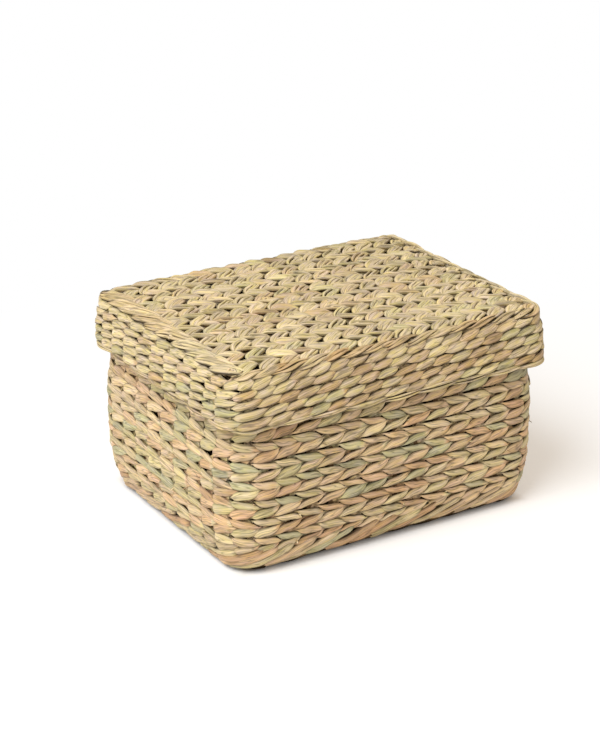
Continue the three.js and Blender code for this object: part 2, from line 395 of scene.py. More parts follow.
@dataclass(frozen=True)
class ReedFinish:
    """Split reed of the stakes: dull brown with fine pores along it."""

    name: str = "split_reed"
    pale: str = "#7d5f38"
    dark: str = "#4a3419"
    pore: float = 0.8 * MM
    pore_detail: float = 2.0
    bump_strength: float = 0.4
    bump_depth: float = 0.2 * MM
    roughness: float = 0.7

    def material(self) -> bpy.types.Material:
        """Make the node material.

        Returns:
            A material that needs no attribute of the mesh.
        """
        made = bpy.data.materials.new(self.name)
        tree = bare_tree(made)
        place = add_node(tree, "ShaderNodeTexCoord").outputs["Object"]
        pores = {"Scale": 1 / self.pore, "Detail": self.pore_detail}
        noise = add_node(tree, "ShaderNodeTexNoise", pores, {"Vector": place}).outputs["Fac"]
        colour = add_node(
            tree,
            "ShaderNodeMix",
            {"data_type": "RGBA", MIX_FIRST: linear(self.dark), MIX_SECOND: linear(self.pale)},
            {MIX_SHARE: noise},
        )
        bump = add_node(
            tree,
            "ShaderNodeBump",
            {"Strength": self.bump_strength, "Distance": self.bump_depth},
            {"Height": noise},
        )
        shader = add_node(
            tree,
            "ShaderNodeBsdfPrincipled",
            {"Roughness": self.roughness},
            {"Base Color": colour.outputs[MIX_RESULT], "Normal": bump.outputs["Normal"]},
        )
        add_node(tree, "ShaderNodeOutputMaterial", links={"Surface": shader.outputs["BSDF"]})
        return made


BODY_SEAGRASS = SeagrassFinish(
    name="seagrass_body",
    palette=(
        (0.0, "#dbb285"),
        (0.2, "#e5c094"),
        (0.4, "#ebcea2"),
        (0.6, "#ebd5a6"),
        (0.8, "#dfcd98"),
        (1.0, "#cdc59a"),
    ),
    weights=(0.05, 0.20, 0.33, 0.22, 0.10, 0.10),
)
LID_SEAGRASS = SeagrassFinish(
    name="seagrass_lid",
    palette=(
        (0.0, "#d7b584"),
        (0.2, "#e1c497"),
        (0.4, "#e6d0a3"),
        (0.6, "#e7d2a1"),
        (0.8, "#dccd99"),
        (1.0, "#cec496"),
    ),
    weights=(0.04, 0.16, 0.38, 0.23, 0.11, 0.08),
    bleach=0.3,
)
EDGE_SEAGRASS = SeagrassFinish(
    name="seagrass_edge",
    palette=((0.0, "#cba069"), (0.3, "#dbb680"), (0.6, "#e5cb9b"), (1.0, "#ebd8ab")),
    weights=(0.04, 0.16, 0.45, 0.35),
)


# Paths that the strands follow


@dataclass(frozen=True)
class Track:
    """Points along a path, with the directions along it, up the weave and out of it."""

    point: Array
    along: Array
    up: Array
    out: Array


@dataclass(frozen=True)
class Hoop:
    """A level rounded rectangle that a course follows, anticlockwise seen from above.

    The lean of its ends and of its sides is how far the wall goes outwards for each length that it rises.
    """

    half_x: float
    half_y: float
    corner: float
    height: float
    lean_x: float = 0.0
    lean_y: float = 0.0

    def straights(self) -> list[float]:
        """Measure the straight stretches.

        Returns:
            Lengths of the front, the right end, the back and the left end.
        """
        side = 2 * (self.half_x - self.corner)
        end = 2 * (self.half_y - self.corner)
        return [side, end, side, end]

    def starts(self) -> Array:
        """Find where each straight and each corner begins.

        Returns:
            Distances along the hoop, and its whole length at the end.
        """
        arc = QUARTER * self.corner
        lengths = [part for straight in self.straights() for part in (straight, arc)]
        return np.concatenate([[0.0], np.cumsum(lengths)])

    def track(self, distance: Array) -> Track:
        """Follow the hoop.

        Args:
            distance: Distances from the front's left end, of any sign.

        Returns:
            The track at those distances.
        """
        starts = self.starts()
        run = np.mod(distance, starts[-1])
        part = np.clip(np.searchsorted(starts, run, side="right") - 1, 0, len(starts) - 2)
        rest = run - starts[part]
        side = part // 2
        turning = part % 2 == 1
        angle = QUARTER * (side - 1) + np.where(turning, rest / self.corner, 0.0)
        straight = np.where(turning, 0.0, rest)
        middle = (side + turning) % 4
        sign_x = np.array([-1, 1, 1, -1])[middle]
        sign_y = np.array([-1, -1, 1, 1])[middle]
        flat_out = np.stack([np.cos(angle), np.sin(angle), np.zeros_like(angle)], 1)
        along = np.stack([-np.sin(angle), np.cos(angle), np.zeros_like(angle)], 1)
        centre = np.stack(
            [
                sign_x * (self.half_x - self.corner),
                sign_y * (self.half_y - self.corner),
                np.full_like(angle, self.height),
            ],
            1,
        )
        point = centre + self.corner * flat_out + straight[:, None] * along
        lean = self.lean_x * flat_out[:, 0] ** 2 + self.lean_y * flat_out[:, 1] ** 2
        rise = np.array([0.0, 0.0, 1.0])
        up = unit(rise + lean[:, None] * flat_out)
        return Track(point, along, up, np.cross(along, up))

    def lowered(self, drop: float) -> "Hoop":
        """The hoop a little lower down the leaning wall."""
        return replace(
            self,
            half_x=self.half_x - self.lean_x * drop,
            half_y=self.half_y - self.lean_y * drop,
            height=self.height - drop,
        )

    def stations(self, counts: tuple[int, int], pitches: tuple[float, float], corner_count: int) -> Array:
        """Place the stitches: evenly on each side and end, and evenly between those round the corners.

        Args:
            counts: Stitches on a side and on an end.
            pitches: Their spacing on a side and on an end.
            corner_count: Stitches round each corner, between those of the side and the end.

        Returns:
            Distances along the hoop, rising.
        """
        starts = self.starts()
        runs = []
        for number, straight in enumerate(self.straights()):
            count = counts[number % 2]
            places = (np.arange(count) - (count - 1) / 2) * pitches[number % 2]
            runs.append(starts[2 * number] + straight / 2 + places)
        following = [run[0] for run in runs[1:]] + [runs[0][0] + starts[-1]]
        placed = []
        for run, first_of_next in zip(runs, following):
            between = np.linspace(run[-1], first_of_next, corner_count + 2)[1:-1]
            placed.extend([run, between])
        return np.concatenate(placed)


@dataclass(frozen=True)
class Row:
    """A straight row of a mat along X, its weave facing up."""

    y: float
    z: float

    def track(self, distance: Array) -> Track:
        """Follow the row.

        Args:
            distance: Distances along it, which are X itself.

        Returns:
            The track at those distances.
        """
        count = len(distance)
        point = np.stack([distance, np.full(count, self.y), np.full(count, self.z)], 1)
        along = np.tile([1.0, 0.0, 0.0], (count, 1))
        up = np.tile([0.0, 1.0, 0.0], (count, 1))
        out = np.tile([0.0, 0.0, 1.0], (count, 1))
        return Track(point, along, up, out)


# Strands


@dataclass(frozen=True)
class Gauge:
    """Size of a row's strands, and how irregular the hand has left them.

    A leaf is the stretch of a strand that shows between two crossings: an almond whose tips climb to
    opposite edges of the row.

    Attributes:
        half_width: Half the leaf's width at its belly.
        pinch: Half its width at a crossing.
        half_thick: Half its thickness.
        swing: How far the strand goes in front of the row's middle and behind it.
        climb: How far the tips lie above and below the row's middle.
        bend: Power that sets how late the leaf bends.
        belly: Power that sets how late it narrows.
        reach: Share of the pitch from a leaf's middle to its tips.
        arch: Share of the pitch that it takes to sink behind.
        flat: Power that squares its section.
        plies: Leaves side by side in one strand.
        folds: Fold lines along a leaf.
        front: Points round the section's face.
        back: Points round its hidden half.
        steps: Samples for each stitch.
        split: Spread of the folds' depth.
        width_spread: Spread of the width and the thickness, as a share.
        out_spread: Spread of how far a leaf stands out.
        rise_spread: Spread of its place up the row.
        roll_spread: Spread of its roll about its own line.
        pitch_spread: Spread of the stitches' places, as a share of the pitch.
        tone_spread: Spread of its brightness, as a share.
        tan: How far the front, or an end, goes towards the palette's brown end: painted shade where
            positive, painted light where negative.
        lift: How far the row is moved up.
        stand: How far it is moved outwards.
        rim: How much painted shade a leaf's edges get.
        skew: How blunt a leaf's start is, and how far it lies over the drawn-out tip before it.
        variety: Share of the palette's spread that the row shows.
        core: Half the width of the dark sheet behind the row, painted shade that closes its slits, or none.
        ends: The gauge that the row eases to on the two ends.
    """

    half_width: float = 0.0
    pinch: float = 0.0
    half_thick: float = 0.0
    swing: float = 0.0
    climb: float = 0.0
    bend: float = 2.2
    belly: float = 3.2
    reach: float = 0.62
    arch: float = 0.52
    flat: float = 0.58
    plies: int = 1
    folds: int = 1
    front: int = 13
    back: int = 3
    steps: int = 14
    split: float = 0.25
    width_spread: float = 0.10
    out_spread: float = 0.22 * MM
    rise_spread: float = 0.35 * MM
    roll_spread: float = math.radians(8)
    pitch_spread: float = 0.06
    tone_spread: float = 0.09
    tan: float = 0.0
    lift: float = 0.0
    stand: float = 0.0
    rim: float = 1.0
    skew: float = 0.0
    variety: float = 1.0
    core: float = 0.0
    ends: "Gauge | None" = None


@dataclass(frozen=True)
class Strand:
    """How one strand runs along a track, with a value for each sample.

    Attributes:
        out: How far it stands out of the track's middle.
        rise: How far above the middle it lies.
        half_width: Half its width.
        half_thick: Half its thickness.
        roll: Its roll about its own line.
        painted_shade: Painted shade where it sinks into a gap, from 0 to 1.
        hue: Its place on the palette.
        tone: Its brightness.
        rim: How much painted shade its edges get.
        inner: Share of its painted shade that the hidden half keeps.
    """

    out: Array
    rise: Array
    half_width: Array
    half_thick: Array
    roll: Array
    painted_shade: Array
    hue: Array
    tone: Array
    rim: Array | float = 1.0
    inner: float = 1.0


# Colour runs: fewest stitches, spread within a run, and the share of a stitch that a colour holds
SHORTEST_RUN = 2
HUE_SPREAD = 0.045
HUE_HOLD = 0.75

# Plies: their width beyond an even share of the strand, and how much each one varies
PLY_OVERLAP = 1.2
PLY_STANDS = 1.5
PLY_WIDTH_SPREAD = 0.18
PLY_TONE_SPREAD = 0.06

# Creases: share of the thickness, waves across the face, and pace along the strand of each
CREASES = ((0.09, 4.4, 1.0), (0.06, 8.3, -0.7))
CREASE_RUN = 22 * MM
CREASE_LOOP = 150 * MM
CREASE_SWAY = 3

# Fold lines: their places across the face, their width, how deep they are, and how much painted shade they
# get
FOLD_PACE = 2
FOLD_SPREAD = 0.7
FOLD_SWAY = 0.45
FOLD_STAGGER = 2
FOLD_DRIFT = 1.7
LONE_FOLD = 0.17
PAIRED_FOLD = 0.12
DEEPEST_FOLD = 0.9
FOLD_DEPTH = 0.4
FOLD_SHADE = 0.75

# Painted shade along a leaf's edges: on its low and its high side, and the power that keeps it narrow
LOW_EDGE_SHADE = 0.95
HIGH_EDGE_SHADE = 0.85
EDGE_SHADE_POWER = 4

# Size of the space that the strands' noise is drawn from
LAY_SPACE = 2

# The dark sheet behind a row, painted shade that closes its slits: its section, size, depth, colour and how
# much of its shade the inner face keeps, at each third sample
SHADE_SHEET_SECTION = Gauge(flat=1.0, front=5)
SHADE_SHEET_HALF_THICK = 0.3 * MM
SHADE_SHEET_DEPTH = 0.8 * MM
SHADE_SHEET_HUE = 0.3
SHADE_SHEET_INNER = 0.4
SHADE_SHEET_STEP = 3


@dataclass
class Bundle:
    """Strands of one piece, gathered into one mesh."""

    finish: SeagrassFinish
    points: list[Array] = field(default_factory=list)
    quads: list[Array] = field(default_factory=list)
    caps: list[Array] = field(default_factory=list)
    hue: list[Array] = field(default_factory=list)
    tone: list[Array] = field(default_factory=list)
    shade: list[Array] = field(default_factory=list)
    lay: list[Array] = field(default_factory=list)
    count: int = 0

    def hues(self, rng: Random, q: Array, cycle: int, run: float) -> Array:
        """Colour a strand in runs: each lasts some stitches and eases into the next.

        Args:
            rng: Source of the draws.
            q: Stitch coordinate of each sample.
            cycle: Stitches after which the strand meets itself.
            run: Mean length of a run in stitches, past the shortest.

        Returns:
            A place on the palette for each sample.
        """
        draws = np.zeros(cycle)
        at = 0
        while at < cycle:
            length = SHORTEST_RUN + int(rng.exponential(run))
            draws[at : at + length] = self.finish.draw_hue(rng)
            at += length
        draws += rng.normal(0, HUE_SPREAD, cycle)
        first = np.floor(q + 0.5).astype(int)
        t = smooth((q + 0.5 - first - HUE_HOLD) / (1 - HUE_HOLD))
        return draws[first % cycle] * (1 - t) + draws[(first + 1) % cycle] * t

    def lay_strand(
        self,
        rng: Random,
        track: Track,
        strand: Strand,
        gauge: Gauge,
        q: Array,
        cycle: int,
        closed: bool,
    ) -> None:
        """Lay a strand, as two or more plies side by side where its gauge says so.

        Args:
            rng: Source of the irregularity.
            track: Where the row runs.
            strand: How the strand runs along it.
            gauge: Size of the strand.
            q: Stitch coordinate of each sample.
            cycle: Stitches after which the draws repeat.
            closed: Whether its end meets its start.
        """
        for ply in range(gauge.plies):
            split = []
            for _ in range(gauge.folds):
                depth = wander(rng, FOLD_PACE * q, gauge.split, FOLD_PACE * cycle)
                split.append(np.clip(depth, 0, DEEPEST_FOLD))
            part = strand
            aside = np.zeros_like(q)
            if gauge.plies > 1:
                lane = (2 * ply + 1) / gauge.plies - 1
                aside = lane * strand.half_width + wander(rng, q, gauge.rise_spread, cycle)
                share = PLY_OVERLAP / gauge.plies
                part = replace(
                    strand,
                    out=strand.out + wander(rng, q, PLY_STANDS * gauge.out_spread, cycle),
                    half_width=share * strand.half_width * (1 + wander(rng, q, PLY_WIDTH_SPREAD, cycle)),
                    roll=strand.roll + wander(rng, q, gauge.roll_spread, cycle),
                    tone=strand.tone * (1 + wander(rng, q, PLY_TONE_SPREAD, cycle)),
                )
            self.sweep(rng, track, part, aside, split, gauge, closed)

    def sweep(
        self,
        rng: Random,
        track: Track,
        strand: Strand,
        aside: Array,
        split: list[Array],
        gauge: Gauge,
        closed: bool,
    ) -> None:
        """Sweep one strand's creased section along a track, with its painted shade.

        Args:
            rng: Source of the creases.
            track: Where the row runs.
            strand: How the strand runs along it.
            aside: How far this ply lies to the side of the strand's line.
            split: How deep each fold along its face is, from 0 to 1.
            gauge: Points round its section.
            closed: Whether its end meets its start.
        """
        centre = track.point + strand.out[:, None] * track.out + strand.rise[:, None] * track.up
        if closed:
            ahead = np.roll(centre, -1, 0) - np.roll(centre, 1, 0)
        else:
            ahead = np.gradient(centre, axis=0)
        ahead = unit(ahead)
        across = unit(np.cross(track.out, ahead))
        centre = centre + aside[:, None] * across
        through = np.cross(ahead, across)
        roll = strand.roll[:, None]
        turned = np.cos(roll) * across + np.sin(roll) * through
        through = np.cos(roll) * through - np.sin(roll) * across

        facing = np.linspace(0, math.pi, gauge.front)
        hidden = np.linspace(math.pi, TURN, gauge.back + 2)[1:-1]
        angle = np.concatenate([facing, hidden])
        steps = np.linalg.norm(np.diff(centre, axis=0), axis=1)
        travel = np.concatenate([[0.0], np.cumsum(steps)])
        drift = travel / CREASE_RUN
        if closed:
            loops = max(1, round(travel[-1] / CREASE_LOOP))
            drift = CREASE_SWAY * np.sin(TURN * np.arange(len(centre)) / len(centre) * loops)
        start = rng.uniform(0, TURN, len(CREASES))
        place = np.cos(angle)[None, :]
        crease = np.ones((len(centre), len(angle)))
        for phase, (depth, waves, pace) in zip(start, CREASES):
            crease += depth * np.cos(waves * place + phase + pace * drift[:, None])
        fold = self.fold_lines(place, split, start[0], drift)
        lift = np.sign(np.sin(angle)) * np.abs(np.sin(angle)) ** gauge.flat
        wide = strand.half_width[:, None] * place
        deep = strand.half_thick[:, None] * lift[None, :] * (crease - FOLD_DEPTH * fold)
        rings = (
            centre[:, None, :]
            + wide[:, :, None] * turned[:, None, :]
            + deep[:, :, None] * through[:, None, :]
        )

        middle = travel[-1] / 2
        stretch = middle - np.abs(travel - middle) if closed else travel
        lengthwise = np.tile(stretch[:, None], (1, len(angle)))
        lay = np.stack([wide, deep, lengthwise], 2) + rng.uniform(0, LAY_SPACE, 3)
        # Painted shade: darker along the leaf's edges, in its folds and where it sinks into a gap; the
        # hidden half keeps a share of it
        rim = np.reshape(strand.rim, (-1, 1)) * np.where(place < 0, LOW_EDGE_SHADE, HIGH_EDGE_SHADE)
        edge = rim * np.abs(place) ** EDGE_SHADE_POWER
        shade = 1 - (1 - strand.painted_shade[:, None]) * (1 - edge) * (1 - FOLD_SHADE * fold)
        shade[:, gauge.front :] *= strand.inner
        self.add(rings, lay, shade, strand.hue, strand.tone, closed)

    @staticmethod
    def fold_lines(place: Array, split: list[Array], start: float, drift: Array) -> Array:
        """Draw the fold lines along a strand's face.

        Args:
            place: Place of each point of the section across the face, from -1 to 1.
            split: How deep each fold is along the strand.
            start: Where the folds' sway begins.
            drift: How far the sway has gone at each sample.

        Returns:
            Depth of the fold at each point, from 0 to 1.
        """
        folds = len(split)
        width = LONE_FOLD if folds == 1 else PAIRED_FOLD
        fold = np.zeros((len(drift), place.shape[1]))
        for number, depth in enumerate(split):
            lane = FOLD_SPREAD * ((2 * number + 1) / folds - 1)
            sway = np.sin(start + FOLD_STAGGER * number + FOLD_DRIFT * drift)
            middle = lane + FOLD_SWAY / folds * sway
            line = np.exp(-(((place - middle[:, None]) / width) ** 2))
            fold = np.maximum(fold, depth[:, None] * line)
        return fold

    def lay_shade_sheet(self, track: Track, out: Array, rise: Array, half_width: float, closed: bool) -> None:
        """Lay a dark sheet behind a row, painted shade that closes its slits: dark towards the outside,
        straw towards the inside.

        Args:
            track: Where the row runs.
            out: How far the sheet stands out of the track's middle.
            rise: How far above it.
            half_width: Half the sheet's width.
            closed: Whether its end meets its start.
        """
        one = np.ones(len(track.point))
        core = Strand(
            out=out,
            rise=rise,
            half_width=half_width * one,
            half_thick=SHADE_SHEET_HALF_THICK * one,
            roll=0 * one,
            painted_shade=one,
            hue=SHADE_SHEET_HUE * one,
            tone=one,
            inner=SHADE_SHEET_INNER,
        )
        self.sweep(np.random.default_rng(0), track, core, 0 * one, [0 * one], SHADE_SHEET_SECTION, closed)

    def add(self, rings: Array, lay: Array, shade: Array, hue: Array, tone: Array, closed: bool) -> None:
        """Add one strand.

        Args:
            rings: Points of each section along the strand.
            lay: The same points in the strand's own straight space.
            shade: How dark each point is.
            hue: Palette place of each section.
            tone: Brightness of each section.
            closed: Whether its end meets its start.
        """
        count, sides = rings.shape[:2]
        here = np.arange(count if closed else count - 1)
        there = (here + 1) % count
        side = np.arange(sides)
        beside = (side + 1) % sides
        corners = [
            here[:, None] * sides + side[None, :],
            here[:, None] * sides + beside[None, :],
            there[:, None] * sides + beside[None, :],
            there[:, None] * sides + side[None, :],
        ]
        self.quads.append(np.stack(corners, 2).reshape(-1, 4) + self.count)
        if not closed:
            self.caps.append(side[::-1] + self.count)
            self.caps.append((count - 1) * sides + side + self.count)
        self.points.append(rings.reshape(-1, 3))
        self.lay.append(lay.reshape(-1, 3))
        self.shade.append(shade.reshape(-1))
        self.hue.append(np.repeat(hue, sides))
        self.tone.append(np.repeat(tone, sides))
        self.count += count * sides

    def stop_at(self, floor: float) -> None:
        """Press flat whatever would go below a height."""
        for points in self.points:
            np.maximum(points[:, 2], floor, out=points[:, 2])

    def piece(self, name: str, material: bpy.types.Material) -> bpy.types.Object:
        """Make the mesh object.

        Args:
            name: The piece's name.
            material: Its finish.

        Returns:
            The new object, at the origin.
        """
        points = np.concatenate(self.points)
        quads = np.concatenate(self.quads)
        loops = np.concatenate([quads.reshape(-1), *self.caps])
        sizes = np.array([4] * len(quads) + [len(cap) for cap in self.caps], int)
        starts = np.concatenate([[0], np.cumsum(sizes)[:-1]])
        mesh = bpy.data.meshes.new(name)
        mesh.vertices.add(len(points))
        mesh.vertices.foreach_set("co", points.astype(np.float32).reshape(-1))
        mesh.loops.add(len(loops))
        mesh.loops.foreach_set("vertex_index", loops.astype(np.int32))
        mesh.polygons.add(len(starts))
        mesh.polygons.foreach_set("loop_start", starts.astype(np.int32))
        mesh.polygons.foreach_set("use_smooth", np.ones(len(starts), bool))
        mesh.update(calc_edges=True)
        for label, values in (("leaf_hue", self.hue), ("leaf_tone", self.tone), ("leaf_shade", self.shade)):
            layer = mesh.attributes.new(label, "FLOAT", "POINT")
            layer.data.foreach_set("value", np.concatenate(values).astype(np.float32))
        layer = mesh.attributes.new("leaf_lay", "FLOAT_VECTOR", "POINT")
        layer.data.foreach_set("vector", np.concatenate(self.lay).astype(np.float32).reshape(-1))
        mesh.materials.append(material)
        made = bpy.data.objects.new(name, mesh)
        bpy.context.scene.collection.objects.link(made)
        return made


# Twining

# How much closer the samples are at the crossings, and draws to spare beyond an open row's stitches
GATHER = 0.4
SPARE_DRAWS = 4

# The palette's middle, which a row of little variety keeps to
MID_HUE = 0.45

# What a full skew does to a leaf: long narrow tip, blunt start, slow sinking, step over the last tip
SKEW_REACH = 0.125
SKEW_TIP = 0.4
SKEW_START = 2
SKEW_ARCH = 0.25
SKEW_STEP = 0.5 * MM

# Behind the stakes: how far past its tip a strand sinks, how soon it is full again, and how much wider
SINK_PAST = 0.05
FULL_AGAIN = 3
BACK_WIDER = 0.3

# Painted shade at a crossing: how dark, and where between the front and the back of the row
GAP_SHADE = 0.92
GAP_DEPTH = 0.12
GAP_SPAN = 0.27

# Finer unevenness: this many draws for each stitch, at that part of the spread between stitches
FINE = 3

# Tuck of an open row's ends: its length in stitches, its depth, and how much the strand narrows
TUCK_SPAN = 0.3
TUCK_DEPTH = 1.4 * MM
TUCK_NARROW = 0.4


def spaced(rng: Random, path: Hoop | Row, stations: Array, gauge: Gauge) -> tuple[Array, Track]:
    """Sample a row whose stitches the hand has spaced unevenly.

    Args:
        rng: Source of the irregularity.
        path: The row's line.
        stations: Where the stitches are along it.
        gauge: Gives the unevenness and the samples.

    Returns:
        The stitch coordinate of each sample, an integer at each stake, and the track there.
    """
    number = len(stations)
    pitch = np.gradient(stations)
    uneven = stations + rng.normal(0, gauge.pitch_spread, number) * pitch
    if isinstance(path, Hoop):
        length = path.starts()[-1]
        knots = np.concatenate([uneven - length, uneven, uneven + length])
        knot_q = np.arange(-number, 2 * number)
        q = np.arange(number * gauge.steps) / gauge.steps
    else:
        knots = np.concatenate([[uneven[0] - pitch[0]], uneven, [uneven[-1] + pitch[-1]]])
        knot_q = np.arange(-1, number + 1)
        q = np.linspace(-1, number, (number + 1) * gauge.steps + 1)
    q = q + GATHER * np.sin(TURN * q) / TURN
    return q, path.track(np.interp(q, knot_q, knots))


def twine(
    bundle: Bundle,
    rng: Random,
    path: Hoop | Row,
    stations: Array,
    gauge: Gauge,
    slant: Slant,
    hue_run: float,
) -> None:
    """Lay a twined row: two strands that swap in front of and behind each stake.

    Args:
        bundle: Gets the strands.
        rng: Source of the irregularity.
        path: The row's line, a closed hoop or an open row.
        stations: Where the stitches are along it.
        gauge: Size of the strands.
        slant: Which way the stitches lean.
        hue_run: Mean length of a colour run, in stitches.
    """
    closed = isinstance(path, Hoop)
    number = len(stations)
    cycle = number if closed else number + SPARE_DRAWS
    q, track = spaced(rng, path, stations, gauge)
    ends = gauge.ends or gauge
    at_end = track.out[:, 0] ** 2

    def fit(name: str) -> Array:
        """One of the gauge's sizes at each sample, eased to that of the ends."""
        return getattr(gauge, name) * (1 - at_end) + getattr(ends, name) * at_end

    swing = fit("swing")
    thick = fit("half_thick")
    skew = fit("skew")
    face = gauge.swing + gauge.half_thick - swing - thick + fit("stand")
    for strand in (0, 1):
        place = np.mod(q - strand + 1, 2) - 1
        side = np.sign(place)
        away = np.abs(place)
        lead = skew * side
        reach = fit("reach") + SKEW_REACH * lead
        toward = np.minimum(away / reach, 1)
        behind = np.clip((away - reach) / (1 - reach), 0, 1)
        shown = away < reach
        swung = side * np.where(shown, toward ** fit("bend"), 1 - behind)
        rise = slant.value * fit("climb") * swung + fit("lift")
        rise += wander(rng, q, gauge.rise_spread, cycle)
        rise += wander(rng, FINE * q, gauge.rise_spread / FINE, FINE * cycle)
        belly = fit("belly") * np.where(side > 0, 1 - SKEW_TIP * lead, 1 - SKEW_START * lead)
        refilled = np.sin(QUARTER * np.minimum(FULL_AGAIN * behind, 1))
        fullness = np.where(shown, 1 - toward**belly, refilled)
        half_width = gauge.pinch + (fit("half_width") - gauge.pinch) * fullness
        half_width *= 1 + wander(rng, q, gauge.width_spread, cycle)
        half_width *= 1 + wander(rng, FINE * q, gauge.width_spread / FINE, FINE * cycle)
        half_thick = thick * thinned(fullness) * (1 + wander(rng, q, gauge.width_spread, cycle))
        sinking = (away - reach - SINK_PAST) / (fit("arch") * (1 + SKEW_ARCH * lead))
        facing = 1 - 2 * smooth(sinking + 0.5)
        half_width *= 1 + BACK_WIDER * smooth(-facing)
        out = face + swing * facing - SKEW_STEP * skew * swung
        out += wander(rng, q, gauge.out_spread, cycle)
        roll = wander(rng, q, gauge.roll_spread, cycle)
        # Painted shade where the strand sinks behind at a crossing
        painted_shade = GAP_SHADE * np.exp(-(((facing + GAP_DEPTH) / GAP_SPAN) ** 2))
        if not closed:
            tuck = smooth(1 - np.minimum(q + 1, number - q) / TUCK_SPAN)
            out -= TUCK_DEPTH * tuck
            half_width *= 1 - TUCK_NARROW * tuck
        hue = MID_HUE + gauge.variety * (bundle.hues(rng, q, cycle, hue_run) - MID_HUE)
        # Painted shade makes the front browner; painted light makes an end paler where its shift is
        # negative
        hue -= gauge.tan * np.clip(-track.out[:, 1], 0, 1) + ends.tan * at_end
        tone = 1 + wander(rng, q, gauge.tone_spread, cycle)
        laid = Strand(out, rise, half_width, half_thick, roll, painted_shade, hue, tone, fit("rim"))
        bundle.lay_strand(rng, track, laid, gauge, q, cycle, closed)
    # A dark sheet of painted shade behind the row closes its slits
    if gauge.core:
        few = slice(None, None, SHADE_SHEET_STEP)
        inner = Track(track.point[few], track.along[few], track.up[few], track.out[few])
        bundle.lay_shade_sheet(inner, (face - SHADE_SHEET_DEPTH)[few], fit("lift")[few], gauge.core, closed)


# Wales

# A wale's strand: how much painted shade it gets behind, stitches in a slow sway and in a colour run, and
# its colours
WALE_SHADE = 0.8
WALE_SWAY = 2
WALE_HUE_RUN = 2.0
WALE_MID_HUE = 0.5
WALE_VARIETY = 0.5


@dataclass(frozen=True)
class WaleSide:
    """How a wale lies along one side.

    Attributes:
        width: Its width, as a share of the gauge's.
        tilt: How far its face is turned up.
        inset: How far it lies inside the hoop.
        drop: How far it lies below the hoop.
        hue: Its middle place on the palette.
        dark: Where a strand's painted shade starts, as a share of its swing from the middle forwards.
        rim: How much painted shade the strands' edges get.
    """

    width: float = 1.0
    tilt: float = 0.0
    inset: float = 0.0
    drop: float = 0.0
    hue: float = 0.5
    dark: float = 0.35
    rim: float = 1.0


def wale(
    bundle: Bundle,
    rng: Random,
    path: Hoop,
    lay_length: float,
    strands: int,
    gauge: Gauge,
    sides: tuple[WaleSide, ...],
) -> None:
    """Lay a wale: strands wound round each other along a hoop, showing long rising stitches.

    Args:
        bundle: Gets the strands.
        rng: Source of the irregularity.
        path: The wale's line.
        lay_length: Length along the hoop of one strand's full turn.
        strands: How many strands are wound together.
        gauge: Size of the strands; its steps are for each stitch.
        sides: How the wale lies on the front, the right end, the back and the left end.
    """
    length = path.starts()[-1]
    stitches = round(length / lay_length) * strands
    q = np.arange(stitches * gauge.steps) / gauge.steps
    flat = path.track(q / stitches * length)
    toward = np.stack([-flat.out[:, 1], flat.out[:, 0], flat.out[:, 1], -flat.out[:, 0]], 1)
    share = np.clip(toward, 0, 1) ** 2
    share /= share.sum(1, keepdims=True)

    def fit(name: str) -> Array:
        """One of the sides' values at each sample, eased from side to side."""
        return share @ np.array([getattr(side, name) for side in sides])

    spread = fit("width")
    tilt = fit("tilt")[:, None]
    track = Track(
        flat.point - fit("inset")[:, None] * flat.out - fit("drop")[:, None] * flat.up,
        flat.along,
        np.cos(tilt) * flat.up - np.sin(tilt) * flat.out,
        np.cos(tilt) * flat.out + np.sin(tilt) * flat.up,
    )
    for strand in range(strands):
        phase = TURN * (q - strand) / strands
        facing = np.cos(phase)
        out = gauge.swing * facing + wander(rng, q, gauge.out_spread, stitches)
        rise = gauge.climb * np.sin(phase) * spread
        rise += wander(rng, q, gauge.rise_spread, stitches)
        rise += wander(rng, q / WALE_SWAY, gauge.rise_spread, stitches)
        full = np.sqrt(gauge.pinch**2 + (gauge.half_width**2 - gauge.pinch**2) * facing**2)
        half_width = full * spread * (1 + wander(rng, q, gauge.width_spread, stitches))
        half_thick = gauge.half_thick * (1 + wander(rng, q, gauge.width_spread, stitches))
        roll = wander(rng, q, gauge.roll_spread, stitches)
        # Painted shade where the strand goes behind
        painted_shade = WALE_SHADE * smooth(fit("dark") - facing)
        hue = fit("hue") + WALE_VARIETY * (bundle.hues(rng, q, stitches, WALE_HUE_RUN) - WALE_MID_HUE)
        tone = 1 + wander(rng, q, gauge.tone_spread, stitches)
        laid = Strand(out, rise, half_width, half_thick, roll, painted_shade, hue, tone, fit("rim"))
        bundle.lay_strand(rng, track, laid, gauge, q, stitches, True)


# Sub-assemblies


def numbered(name: str, count: int) -> list[str]:
    """Names of a run of alike nodes."""
    return [f"{name}_{number + 1:02d}" for number in range(count)]


